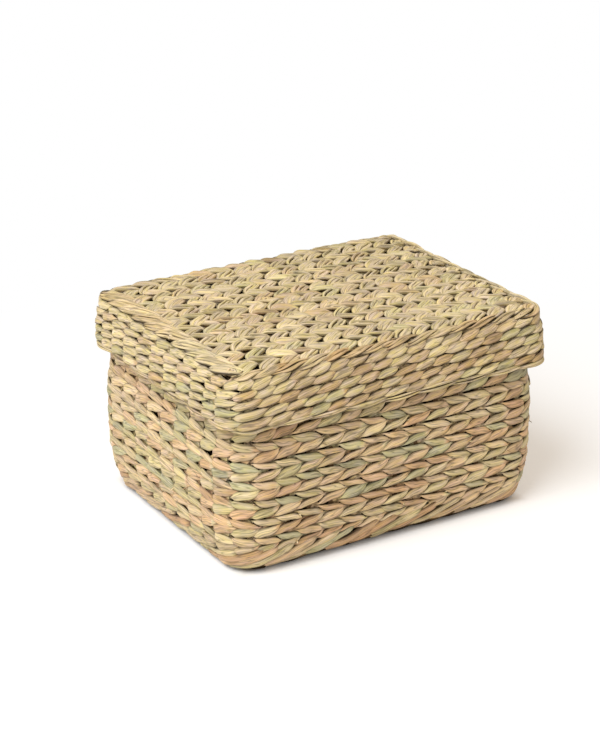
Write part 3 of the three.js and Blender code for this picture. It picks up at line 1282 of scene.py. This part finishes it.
@dataclass
class Weaving:
    """What the body and the lid share: rings of courses, and mats of straight rows.

    The fields whose names end in draws number each piece's own random draws.
    """

    body: str
    seed: int
    weave: SeagrassFinish
    edge: SeagrassFinish
    weave_slot: str
    counts: tuple[int, int]
    pitches: tuple[float, float]
    corner_count: int
    edge_slot: str = "edge_wale"
    wall_middle: float = 2.6 * MM
    smallest_corner: float = 4 * MM
    course_hue_run: float = 1.0
    mat_middle: float = 3.3 * MM
    mat_hue_run: float = 1.5
    mat_draws: int = 100
    rim_lay: float = 60 * MM
    rim_strands: int = 2
    materials: dict[str, bpy.types.Material] = field(default_factory=dict)

    def corner_at(self, half_x: float, height: float) -> float:
        """Corner radius of the outline at one height."""
        raise NotImplementedError

    def hoops(self, nodes: list[str]) -> dict[str, Hoop]:
        """Find the middle line of each ring's wall from its solid.

        Args:
            nodes: Names of the rings, from the lowest to the highest.

        Returns:
            A hoop for each name.
        """
        boxes = [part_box(node) for node in nodes]
        half_x = [(high.x - low.x) / 2 for low, high in boxes]
        half_y = [(high.y - low.y) / 2 for low, high in boxes]
        height = [(high.z + low.z) / 2 for low, high in boxes]
        lean_x = np.gradient(half_x, height)
        lean_y = np.gradient(half_y, height)
        made = {}
        for i, node in enumerate(nodes):
            corner = self.corner_at(half_x[i], height[i]) - self.wall_middle
            made[node] = Hoop(
                half_x[i] - self.wall_middle,
                half_y[i] - self.wall_middle,
                max(corner, self.smallest_corner),
                height[i],
                float(lean_x[i]),
                float(lean_y[i]),
            )
        return made

    def stitches(self, hoop: Hoop) -> Array:
        """Where this part's stitches fall on one hoop."""
        return hoop.stations(self.counts, self.pitches, self.corner_count)

    def rng(self, number: int) -> Random:
        """A source of draws of its own for each piece."""
        return np.random.default_rng([self.seed, number])

    def settle(self, bundle: Bundle, node: str, slot: str) -> None:
        """Turn a bundle into the piece that stands for a node.

        Args:
            bundle: The piece's strands.
            node: The solid that it replaces.
            slot: The record's material slot; not used.
        """
        finish = bundle.finish
        if finish.name not in self.materials:
            self.materials[finish.name] = finish.material()
        made = bundle.piece(f"{node}_weave", self.materials[finish.name])
        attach(made, self.body)
        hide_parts(node)
        log.info("%s: %d points", made.name, len(made.data.vertices))

    def mat(
        self,
        nodes: list[str],
        rising: Gauge,
        falling: Gauge,
        share: float,
        floor: float | None = None,
    ) -> None:
        """Weave a mat: each band is a rising row in front of a falling one.

        Args:
            nodes: The bands' names.
            rising: Size of the rising row's strands.
            falling: Size of the falling row's strands.
            share: Part of the band's width that the rising row takes.
            floor: Height that no strand goes below.
        """
        count = self.counts[0]
        stations = (np.arange(count) - (count - 1) / 2) * self.pitches[0]
        for number, node in enumerate(nodes):
            low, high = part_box(node)
            width = high.y - low.y
            middle = high.z - self.mat_middle
            rng = self.rng(self.mat_draws + number)
            bundle = Bundle(self.weave)
            front = Row(low.y + share * width / 2, middle)
            behind = Row(high.y - (1 - share) * width / 2, middle)
            twine(bundle, rng, front, stations, rising, Slant.RISING, self.mat_hue_run)
            twine(bundle, rng, behind, stations, falling, Slant.FALLING, self.mat_hue_run)
            if floor is not None:
                bundle.stop_at(floor)
            self.settle(bundle, node, self.weave_slot)


@dataclass
class BoxBody(Weaving):
    """The open box: twined walls, base mat, foot, base edge and rim."""

    courses: int = 18
    bands: int = 10

    # Outline: corner radii of the belly and the neck, the heights between them, and the fullest course
    belly_corner: float = 34 * MM
    neck_corner: float = 26 * MM
    neck_start: float = 85.5 * MM
    neck_end: float = 117.5 * MM
    fullest: str = "wall_course_06"

    # Walls: how far the lowest course sags, and the course from which none does
    wall_sag: float = 2.2 * MM
    sag_courses: int = 12
    wall_ends: Gauge = Gauge(
        half_width=3.9 * MM, pinch=0.4 * MM, half_thick=1.0 * MM, swing=1.3 * MM, climb=2.1 * MM,
        bend=1.0, belly=3.0, reach=0.6, arch=0.4,
        tan=-0.06, lift=0.6 * MM, stand=0.4 * MM, rim=0.5, skew=1.0,
    )
    rising_gauge: Gauge = Gauge(
        half_width=3.6 * MM, pinch=0.4 * MM, half_thick=1.2 * MM, swing=1.4 * MM, climb=3.5 * MM,
        bend=1.8, belly=2.6, tan=0.05, lift=0.3 * MM, core=4.6 * MM, ends=wall_ends,
    )
    falling_gauge: Gauge = replace(
        rising_gauge,
        half_width=3.0 * MM, half_thick=1.15 * MM, swing=1.2 * MM, climb=2.8 * MM,
        bend=1.9, belly=2.8, lift=-0.3 * MM,
        ends=replace(wall_ends, half_width=3.8 * MM, climb=1.2 * MM, lift=-0.6 * MM, stand=0.3 * MM),
    )

    # Cut ends of leaf that poke out: on which courses, at what share of the stitches, their shape, and the
    # painted shade at their roots
    loose_courses: int = 11
    loose_share: float = 0.07
    loose_samples: int = 5
    loose_start: float = 0.5 * MM
    loose_length: float = 5 * MM
    loose_length_spread: float = 0.2
    loose_lean: float = 0.7
    loose_tone: float = 1.2
    loose_shade: float = 0.9
    loose_hidden: float = 0.5
    loose_draws: int = 300
    loose_gauge: Gauge = Gauge(half_width=0.7 * MM, half_thick=0.3 * MM, front=5)

    # Base: part of each band that its first row takes
    base_share: float = 0.5
    mat_gauge: Gauge = Gauge(
        half_width=4.6 * MM, pinch=0.8 * MM, half_thick=1.6 * MM, swing=1.7 * MM, climb=4.0 * MM,
        bend=1.3, belly=2.4, front=7, steps=8, core=5.0 * MM,
    )

    # Foot: its clearance from the floor, how its strands run, tuck in above, curl under and vary, the
    # painted shade where they tuck in, and the dark sheet of painted shade behind them
    foot_gap: float = 3.2 * MM
    foot_drop: float = 3.2 * MM
    foot_run: float = 30 * MM
    foot_run_spread: float = 0.06
    foot_place_spread: float = 1.0 * MM
    foot_tuck: float = 2 * MM
    foot_tuck_span: tuple[float, float] = (0.62, 0.92)
    foot_shade: float = 0.9
    foot_curl: float = 5 * MM
    foot_curl_span: tuple[float, float] = (0.1, 0.8)
    foot_end_ease: float = 0.35
    foot_pace: int = 2
    foot_cycle: int = 6
    foot_draws: int = 200
    foot_shade_sheet: float = 7 * MM
    foot_shade_sheet_depth: float = 1.5 * MM
    foot_shade_sheet_samples: int = 240
    foot_gauge: Gauge = Gauge(
        half_width=3.9 * MM, pinch=0.8 * MM, half_thick=1.6 * MM, swing=0.8 * MM, climb=13 * MM,
        flat=0.7, folds=2, split=0.35, steps=36, tan=0.05, tone_spread=0.08,
    )

    # Base edge: inset of each wale on the sides and on the ends, and its strands
    edge_insets: tuple[tuple[float, float], ...] = ((3 * MM, 4.5 * MM), (9 * MM, 13.5 * MM))
    edge_lay: float = 72 * MM
    edge_strands: int = 3
    # A hue near the palette's brown end: partly the strands' colour, partly painted shade for the shadow
    # under the foot
    edge_hue: float = 0.1
    edge_draws: int = 203
    edge_gauge: Gauge = Gauge(
        half_width=3.6 * MM, pinch=2.4 * MM, half_thick=1.8 * MM, swing=1.5 * MM, climb=2.0 * MM,
        front=7, steps=10, tone_spread=0.06,
    )

    # Rim
    rim_draws: int = 202
    rim_gauge: Gauge = Gauge(
        half_width=1.9 * MM, pinch=1.5 * MM, half_thick=1.6 * MM, swing=1.6 * MM, climb=0.8 * MM,
        front=7, tone_spread=0.06,
    )

    def corner_at(self, half_x: float, height: float) -> float:
        """Find the body's corner radius: smaller as the foot tucks in, and at the neck.

        Args:
            half_x: Half the body's length there.
            height: How high it is.

        Returns:
            The radius of the outer face.
        """
        low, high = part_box(self.fullest)
        tuck = max((high.x - low.x) / 2 - half_x, 0.0)
        rise = (height - self.neck_start) / (self.neck_end - self.neck_start)
        share = float(smooth(np.array(rise)))
        foot = self.belly_corner - (tuck if height < self.neck_start else 0.0)
        return foot * (1 - share) + self.neck_corner * share

    def build(self) -> None:
        """Weave every piece of the body."""
        walls = numbered("wall_course", self.courses)
        hoops = self.hoops(["base_edge_course", "foot_wale", *walls, "body_rim"])
        for number, node in enumerate(walls):
            self.wall(number, node, hoops[node])
        base = numbered("base_band", self.bands)
        self.mat(base, self.mat_gauge, self.mat_gauge, self.base_share, floor=0.0)
        self.foot(hoops["foot_wale"])
        self.base_edge(hoops["base_edge_course"])
        rim = Bundle(self.weave)
        plain = (WaleSide(),) * 4
        rng = self.rng(self.rim_draws)
        wale(rim, rng, hoops["body_rim"], self.rim_lay, self.rim_strands, self.rim_gauge, plain)
        self.settle(rim, "body_rim", self.weave_slot)

    def wall(self, number: int, node: str, ring: Hoop) -> None:
        """Weave one wall course, rising and falling in turn.

        Args:
            number: The course's number, from the lowest.
            node: Its name.
            ring: The middle line of its solid.
        """
        bundle = Bundle(self.weave)
        rising = number % 2 == 0
        slant = Slant.RISING if rising else Slant.FALLING
        gauge = self.rising_gauge if rising else self.falling_gauge
        hoop = ring.lowered(self.wall_sag * max(1 - number / self.sag_courses, 0.0))
        twine(bundle, self.rng(number), hoop, self.stitches(hoop), gauge, slant, self.course_hue_run)
        if number < self.loose_courses:
            self.loose_ends(bundle, hoop, self.rng(self.loose_draws + number))
        self.settle(bundle, node, self.weave_slot)

    def loose_ends(self, bundle: Bundle, hoop: Hoop, rng: Random) -> None:
        """Let a few cut ends of leaf poke out between the stitches.

        Args:
            bundle: Gets the ends.
            hoop: The course's line.
            rng: Source of their places and shapes.
        """
        gauge = self.loose_gauge
        t = np.linspace(0, 1, self.loose_samples)
        one = np.ones_like(t)
        zero = np.zeros_like(t)
        stations = self.stitches(hoop)
        for middle in (stations[1:] + stations[:-1]) / 2:
            if rng.random() > self.loose_share:
                continue
            place = hoop.track(middle * one)
            rise, aside, roll = rng.uniform(-self.loose_lean, self.loose_lean, 3)
            heading = unit(place.out + rise * place.up + aside * place.along)
            length = self.loose_length * near_one(rng, self.loose_length_spread)
            reach = self.loose_start + length * t
            point = place.point + reach[:, None] * heading
            track = Track(point, heading, np.cross(place.up, heading), place.up)
            # Each end gets painted shade at its root, where it comes out between the stitches
            end = Strand(
                out=zero,
                rise=zero,
                half_width=gauge.half_width * one,
                half_thick=gauge.half_thick * one,
                roll=roll * one,
                painted_shade=self.loose_shade * (1 - smooth(t / self.loose_hidden)),
                hue=self.weave.draw_hue(rng) * one,
                tone=self.loose_tone * one,
            )
            bundle.sweep(rng, track, end, zero, [zero], gauge, False)

    def foot(self, hoop: Hoop) -> None:
        """Weave the foot: long flat strands, one for each stitch, that slant up to the walls.

        Args:
            hoop: The foot's line.
        """
        bundle = Bundle(self.weave)
        rng = self.rng(self.foot_draws)
        gauge = self.foot_gauge
        cycle = self.foot_cycle
        # A dark sheet of painted shade behind the foot
        ring = hoop.track(np.linspace(0, hoop.starts()[-1], self.foot_shade_sheet_samples, endpoint=False))
        level = np.zeros(self.foot_shade_sheet_samples)
        bundle.lay_shade_sheet(ring, level - self.foot_shade_sheet_depth, level, self.foot_shade_sheet, True)
        t = np.linspace(-1, 1, gauge.steps)
        q = self.foot_pace * (t + 1)
        tuck_start, tuck_end = self.foot_tuck_span
        hidden = smooth((t - tuck_start) / (tuck_end - tuck_start))
        curl_start, curl_end = self.foot_curl_span
        under = smooth((-t - curl_start) / (curl_end - curl_start))
        for station in self.stitches(hoop):
            run = self.foot_run * near_one(rng, self.foot_run_spread)
            track = hoop.track(station + rng.normal(0, self.foot_place_spread) + run * t)
            at_end = track.out[:, 0] ** 2
            rise = gauge.climb * (1 - self.foot_end_ease * at_end) * t - self.foot_drop
            rise += wander(rng, q, gauge.rise_spread, cycle)
            out = gauge.swing - self.foot_tuck * hidden + wander(rng, q, gauge.out_spread, cycle)
            out -= self.foot_curl * under * track.out[:, 1] ** 2
            half_width = gauge.pinch + (gauge.half_width - gauge.pinch) * (1 - hidden)
            half_width *= 1 + wander(rng, q, gauge.width_spread, cycle)
            half_thick = gauge.half_thick * (1 + wander(rng, q, gauge.width_spread, cycle))
            roll = wander(rng, q, gauge.roll_spread, cycle)
            hue = self.weave.draw_hue(rng) + rng.normal(0, HUE_SPREAD)
            # Painted shade makes the front strands browner
            hue = hue - gauge.tan * np.clip(-track.out[:, 1], 0, 1)
            tone = 1 + wander(rng, q, gauge.tone_spread, cycle)
            # The strands get painted shade where they tuck in under the walls
            laid = Strand(out, rise, half_width, half_thick, roll, self.foot_shade * hidden, hue, tone)
            bundle.lay_strand(rng, track, laid, gauge, q, cycle, False)
        bundle.stop_at(self.foot_gap)
        self.settle(bundle, "foot_wale", self.weave_slot)

    def base_edge(self, hoop: Hoop) -> None:
        """Weave the edge course: wales that lie flat, side by side, between the base and the foot.

        Args:
            hoop: The course's line.
        """
        bundle = Bundle(self.edge)
        for number, (side_inset, end_inset) in enumerate(self.edge_insets):
            side = WaleSide(tilt=QUARTER, inset=side_inset, hue=self.edge_hue)
            tucked = (side, replace(side, inset=end_inset)) * 2
            rng = self.rng(self.edge_draws + number)
            wale(bundle, rng, hoop, self.edge_lay, self.edge_strands, self.edge_gauge, tucked)
        bundle.stop_at(0.0)
        self.settle(bundle, "base_edge_course", self.edge_slot)


@dataclass
class BoxLid(Weaving):
    """The lid: twined skirt, top mat, edge wale and rim."""

    courses: int = 5
    bands: int = 10

    # Outline: corner radii of the top edge and of the rim
    top_corner: float = 14 * MM
    rim_corner: float = 22 * MM

    # Skirt: shift of each course's stitches past the course above, and of the crown course on the ends
    row_shift: float = 3.5 * MM
    crown_shift: float = 8 * MM
    skirt_ends: Gauge = Gauge(
        half_width=3.5 * MM, pinch=0.4 * MM, half_thick=1.0 * MM, swing=1.3 * MM, climb=1.9 * MM,
        bend=1.0, belly=3.0, reach=0.6, arch=0.4, tan=-0.05, rim=0.8, skew=1.0,
    )
    skirt_gauge: Gauge = Gauge(
        half_width=3.3 * MM, pinch=0.4 * MM, half_thick=1.2 * MM, swing=1.3 * MM, climb=2.4 * MM,
        bend=1.3, belly=3.0, tan=0.16, core=4.0 * MM, ends=skirt_ends,
    )
    crown_gauge: Gauge = replace(
        skirt_gauge,
        half_width=3.8 * MM, half_thick=1.3 * MM, climb=3.1 * MM, bend=1.2, belly=2.8,
        ends=replace(skirt_ends, half_width=3.6 * MM),
    )

    # Top: part of each band that its rising row takes
    top_share: float = 0.6
    top_rising: Gauge = Gauge(
        half_width=5.2 * MM, pinch=0.5 * MM, half_thick=1.2 * MM, swing=2.3 * MM, climb=7.2 * MM,
        bend=1.0, reach=0.61, arch=0.9, skew=0.35, plies=3, front=9, steps=12,
        rim=0.5, variety=0.6, core=5.6 * MM,
        width_spread=0.14, rise_spread=0.5 * MM, roll_spread=math.radians(11),
    )
    top_falling: Gauge = replace(
        top_rising,
        half_width=4.3 * MM, swing=2.2 * MM, climb=5.4 * MM,
        reach=0.6, arch=0.85, stand=0.1 * MM, plies=2,
    )

    # Edge wale, on the front, the right end, the back and the left end
    edge_lay: float = 56 * MM
    edge_strands: int = 3
    edge_draws: int = 200
    edge_sides: tuple[WaleSide, ...] = (
        WaleSide(1.0, tilt=math.radians(48), inset=1.5 * MM, drop=0.8 * MM, hue=0.4),
        WaleSide(0.55, tilt=math.radians(75), inset=1.4 * MM, drop=-0.4 * MM, hue=0.95, dark=-0.3, rim=0.4),
        WaleSide(0.6, tilt=math.radians(20), inset=0.6 * MM, drop=3.2 * MM, hue=0.7, dark=-0.4, rim=0.3),
        WaleSide(0.6, tilt=math.radians(70), inset=5.0 * MM, drop=3.0 * MM, hue=0.4),
    )
    edge_gauge: Gauge = Gauge(
        half_width=2.7 * MM, pinch=1.4 * MM, half_thick=1.3 * MM, swing=1.4 * MM, climb=2.9 * MM,
        flat=0.8, front=9, steps=12, plies=2, split=0.5, tone_spread=0.06,
    )

    # Turns over the left end: where they start and stop, how they run in and sink, their colour, and the
    # painted shade at their two ends
    turn_lead: float = 6 * MM
    turn_place_spread: float = 1.5 * MM
    turn_back_gap: float = 5 * MM
    turn_front_gap: float = 3 * MM
    turn_length: float = 46 * MM
    turn_length_spread: float = 0.1
    turn_start: float = 1.5 * MM
    turn_inset: float = 19 * MM
    turn_inset_span: tuple[float, float] = (0.85, 1.1)
    turn_bend: float = 1.6
    turn_depth: float = 1.2 * MM
    turn_sink: float = 5 * MM
    turn_ease: float = 0.08
    turn_arch: float = 0.8
    turn_first_shade: float = 0.6
    turn_first_span: float = 0.14
    turn_last_shade: float = 0.9
    turn_last_span: float = 0.15
    turn_hues: tuple[float, float] = (0.5, 1.0)
    turn_pace: int = 3
    turn_cycle: int = 5
    turn_draws: int = 202
    turn_gauge: Gauge = Gauge(
        half_width=4.4 * MM, pinch=0.5 * MM, half_thick=1.7 * MM, belly=2.0,
        flat=0.75, plies=3, split=0.4, steps=30, front=11, tone_spread=0.05,
    )

    # Rim
    rim_lift: float = 0.6 * MM
    rim_draws: int = 201
    rim_gauge: Gauge = Gauge(
        half_width=2.1 * MM, pinch=1.5 * MM, half_thick=1.5 * MM, swing=1.7 * MM, climb=0.6 * MM,
        front=7, steps=12, plies=2, width_spread=0.2, tone_spread=0.06,
    )

    def corner_at(self, half_x: float, height: float) -> float:
        """Find the lid's corner radius: it grows from the top edge to the rim as the lid flares.

        Args:
            half_x: Half the lid's length there.
            height: How high it is, which the flare already tells; not used.

        Returns:
            The radius of the outer face.
        """
        low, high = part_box("lid_rim")
        rim = (high.x - low.x) / 2
        low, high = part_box("lid_edge_wale")
        top = (high.x - low.x) / 2
        share = min(max((half_x - top) / (rim - top), 0.0), 1.0)
        return self.top_corner * (1 - share) + self.rim_corner * share

    def build(self) -> None:
        """Weave every piece of the lid."""
        skirt = numbered("skirt_course", self.courses)
        hoops = self.hoops(["lid_rim", *skirt, "lid_edge_wale"])
        for number, node in enumerate(skirt):
            self.skirt(number, node, hoops[node])
        top = numbered("lid_band", self.bands)
        self.mat(top, self.top_rising, self.top_falling, self.top_share)
        edge = Bundle(self.edge)
        rng = self.rng(self.edge_draws)
        line = hoops["lid_edge_wale"]
        wale(edge, rng, line, self.edge_lay, self.edge_strands, self.edge_gauge, self.edge_sides)
        self.end_turns(edge, top)
        self.settle(edge, "lid_edge_wale", self.edge_slot)
        rim = Bundle(self.weave)
        lifted = (WaleSide(drop=-self.rim_lift),) * 4
        rng = self.rng(self.rim_draws)
        wale(rim, rng, hoops["lid_rim"], self.rim_lay, self.rim_strands, self.rim_gauge, lifted)
        self.settle(rim, "lid_rim", self.weave_slot)

    def skirt(self, number: int, node: str, hoop: Hoop) -> None:
        """Weave one course of the skirt, all rising; the highest is the crown course.

        Args:
            number: The course's number, from the lowest.
            node: Its name.
            hoop: The middle line of its solid.
        """
        bundle = Bundle(self.weave)
        below_crown = self.courses - 1 - number
        crown = below_crown == 0
        gauge = self.crown_gauge if crown else self.skirt_gauge
        stations = self.stitches(hoop)
        on_side = hoop.track(stations).out[:, 1] ** 2
        shift = self.row_shift * below_crown * on_side + self.crown_shift * crown * (1 - on_side)
        rng = self.rng(number)
        twine(bundle, rng, hoop, stations + shift, gauge, Slant.RISING, self.course_hue_run)
        self.settle(bundle, node, self.weave_slot)

    def end_turns(self, bundle: Bundle, bands: list[str]) -> None:
        """Lay the strands that come up over the left end, one for each band, and slant into its rows.

        Args:
            bundle: Gets the strands.
            bands: The bands' names.
        """
        rng = self.rng(self.turn_draws)
        gauge = self.turn_gauge
        corner = self.top_corner
        edge_low, edge_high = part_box("lid_edge_wale")
        t = np.linspace(0, 1, gauge.steps)
        q = self.turn_pace * t
        zero = np.zeros_like(t)
        fullness = 1 - np.abs(2 * t - 1) ** gauge.belly
        half_width = gauge.pinch + (gauge.half_width - gauge.pinch) * fullness
        half_thick = gauge.half_thick * thinned(fullness)
        # Painted shade at both ends, where a turn goes under
        first_shade = self.turn_first_shade * smooth(1 - t / self.turn_first_span)
        last_shade = self.turn_last_shade * smooth(1 - (1 - t) / self.turn_last_span)
        arch = np.sin(math.pi * (self.turn_ease + (1 - 2 * self.turn_ease) * t)) ** self.turn_arch
        z = edge_high.z - self.turn_depth - self.turn_sink * (1 - arch)
        out = unit(np.stack([t - 1, zero, np.ones_like(t)], 1))
        for band in bands:
            _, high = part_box(band)
            start = high.y + self.turn_lead + rng.normal(0, self.turn_place_spread)
            start = min(start, edge_high.y - self.turn_back_gap)
            length = self.turn_length * near_one(rng, self.turn_length_spread)
            length = min(length, start - edge_low.y - self.turn_front_gap)
            y = start - length * t
            rounded = np.clip(corner - edge_high.y + y, 0, corner)
            x = edge_low.x + self.turn_start + corner - np.sqrt(corner**2 - rounded**2)
            x += self.turn_inset * rng.uniform(*self.turn_inset_span) * t**self.turn_bend
            point = np.stack([x, y, z], 1)
            along = unit(np.gradient(point, axis=0))
            track = Track(point, along, np.cross(out, along), out)
            hue = np.full_like(t, rng.uniform(*self.turn_hues))
            tone = 1 + wander(rng, q, gauge.tone_spread, self.turn_cycle)
            painted_shade = np.maximum(first_shade, last_shade)
            laid = Strand(zero, zero, half_width, half_thick, zero, painted_shade, hue, tone)
            bundle.lay_strand(rng, track, laid, gauge, q, self.turn_cycle, False)


# Studio


@dataclass
class Studio:
    """A pale floor, soft light from the left and the camera."""

    # Camera: what it looks at and from where, and its lens and shift by the photograph's pixels
    target: tuple[float, float, float] = (0.0, 0.0, 80 * MM)
    azimuth: float = math.radians(-31.62)
    elevation: float = math.radians(22.70)
    distance: float = 1.56391
    focal_pixels: float = 2025.92
    long_side: float = 750.0
    target_pixel: tuple[float, float] = (317.51, 394.91)
    middle_pixel: tuple[float, float] = (300.0, 375.0)
    sensor: float = 36.0

    # Floor: how far its shadow is lifted past the box's footprint, and where the shadow fades out
    floor_size: float = 12.0
    floor_colour: str = "#f4f3f1"
    floor_lift: float = 0.28
    shadow_reach: tuple[float, float] = (0.2, 0.5)
    footprint: tuple[float, float] = (127 * MM, 100 * MM)
    footprint_edge: tuple[float, float] = (0.92, 1.03)

    # Light: one large lamp, and the even room
    key_from: tuple[float, float, float] = (-1.06, -0.49, 1.53)
    key_size: float = 1.1
    key_watts: float = 29.0
    key_colour: str = "#f0f7ff"
    world_strength: float = 0.53
    world_colour: str = "#ffefdc"

    def build(self) -> None:
        """Set the floor, the lights and the camera."""
        self.floor()
        self.key_light()
        self.room()
        self.camera()
        bpy.context.scene.view_settings.view_transform = "Standard"

    def seen(self, tree: bpy.types.NodeTree) -> Socket:
        """Tell the rays that show the white room: the camera's, and those mirrored or passed on.

        Args:
            tree: Tree that gets the nodes.

        Returns:
            A socket that is 1 for those rays and 0 for the rest.
        """
        rays = add_node(tree, "ShaderNodeLightPath").outputs
        direct = reckon(tree, "MAXIMUM", rays["Is Camera Ray"], rays["Is Glossy Ray"])
        return reckon(tree, "MAXIMUM", direct, rays["Is Transmission Ray"])

    def floor(self) -> None:
        """Lay the floor."""
        bpy.ops.object.select_all(action="DESELECT")
        bpy.ops.mesh.primitive_plane_add(size=self.floor_size, location=(0, 0, 0))
        made = bpy.context.object
        made.name = "floor"
        made.data.materials.append(self.paper())

    def paper(self) -> bpy.types.Material:
        """Make the floor's matt paper.

        Returns:
            A material that is white to the camera where it is lit, with the object's soft shadow.
        """
        made = bpy.data.materials.new("matt_paper")
        tree = bare_tree(made)
        lit = add_node(tree, "ShaderNodeBsdfDiffuse", {"Color": linear(self.floor_colour)}).outputs["BSDF"]
        white = add_node(tree, "ShaderNodeEmission", {"Color": WHITE, "Strength": 1.0})
        place = add_node(tree, "ShaderNodeTexCoord").outputs["Object"]
        fit = (1 / self.footprint[0], 1 / self.footprint[1], 0)
        spread = add_node(tree, "ShaderNodeVectorMath", {"operation": "MULTIPLY", 1: fit}, {0: place})
        inner = {0: spread.outputs["Vector"]}
        either = add_node(tree, "ShaderNodeVectorMath", {"operation": "ABSOLUTE"}, inner)
        parts = add_node(tree, "ShaderNodeSeparateXYZ", links={0: either.outputs["Vector"]}).outputs
        outer = reckon(tree, "MAXIMUM", parts[0], parts[1])
        beyond = mapped(tree, outer, self.footprint_edge, (0.0, self.floor_lift))
        lift = add_node(tree, "ShaderNodeEmission", {"Color": WHITE}, {"Strength": beyond})
        near = add_node(tree, "ShaderNodeAddShader", links={0: lit, 1: lift.outputs["Emission"]})
        away = add_node(tree, "ShaderNodeVectorMath", {"operation": "LENGTH"}, {0: place})
        share = mapped(tree, away.outputs["Value"], self.shadow_reach, (0.0, 1.0))
        mixed = add_node(
            tree,
            "ShaderNodeMixShader",
            links={0: share, 1: near.outputs["Shader"], 2: white.outputs["Emission"]},
        )
        shown = add_node(
            tree,
            "ShaderNodeMixShader",
            links={0: self.seen(tree), 1: lit, 2: mixed.outputs["Shader"]},
        )
        add_node(tree, "ShaderNodeOutputMaterial", links={"Surface": shown.outputs["Shader"]})
        return made

    def key_light(self) -> None:
        """Hang one large soft light on the left."""
        place = Vector(self.key_from)
        bpy.ops.object.light_add(type="AREA", location=place)
        key = bpy.context.object
        key.name = "soft_key"
        key.data.shape = "SQUARE"
        key.data.size = self.key_size
        key.data.energy = self.key_watts
        key.data.color = linear(self.key_colour)[:3]
        key.rotation_euler = (Vector(self.target) - place).to_track_quat("-Z", "Y").to_euler()

    def room(self) -> None:
        """Stand the box in an even room, which is white where it is seen."""
        world = bpy.data.worlds.new("white_room")
        bpy.context.scene.world = world
        tree = bare_tree(world)
        glow = {"Color": linear(self.world_colour), "Strength": self.world_strength}
        room = add_node(tree, "ShaderNodeBackground", glow)
        white = add_node(tree, "ShaderNodeBackground", {"Color": WHITE, "Strength": 1.0})
        mixed = add_node(
            tree,
            "ShaderNodeMixShader",
            links={0: self.seen(tree), 1: room.outputs["Background"], 2: white.outputs["Background"]},
        )
        add_node(tree, "ShaderNodeOutputWorld", links={"Surface": mixed.outputs["Shader"]})

    def camera(self) -> None:
        """Stand the camera where the photograph was taken from."""
        level = math.cos(self.elevation)
        back = Vector(
            (math.sin(self.azimuth) * level, -math.cos(self.azimuth) * level, math.sin(self.elevation))
        )
        bpy.ops.object.camera_add(location=Vector(self.target) + back * self.distance)
        made = bpy.context.object
        made.rotation_euler = (-back).to_track_quat("-Z", "Y").to_euler()
        made.data.sensor_width = self.sensor
        made.data.lens = self.sensor * self.focal_pixels / self.long_side
        made.data.shift_x = (self.middle_pixel[0] - self.target_pixel[0]) / self.long_side
        made.data.shift_y = (self.target_pixel[1] - self.middle_pixel[1]) / self.long_side
        bpy.context.scene.camera = made


def dress_stakes() -> None:
    """Give the stakes' own solids the reed finish."""
    reed = ReedFinish().material()
    for node in ("body_stakes", "lid_stakes"):
        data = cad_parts[node].data
        data.materials.clear()
        data.materials.append(reed)
        log.info("%s: split reed", node)


def main() -> None:
    """Build the box, its lid and the studio, in that order."""
    logging.basicConfig(level=logging.INFO, format="%(message)s")
    BoxBody(
        body="body",
        seed=11,
        weave=BODY_SEAGRASS,
        edge=EDGE_SEAGRASS,
        weave_slot="body_weave",
        counts=(11, 8),
        pitches=(18.4 * MM, 20.5 * MM),
        corner_count=3,
    ).build()
    BoxLid(
        body="lid",
        seed=23,
        weave=LID_SEAGRASS,
        edge=EDGE_SEAGRASS,
        weave_slot="lid_weave",
        counts=(15, 9),
        pitches=(16.2 * MM, 20.5 * MM),
        corner_count=2,
    ).build()
    dress_stakes()
    Studio().build()


if __name__ == "__main__":
    main()
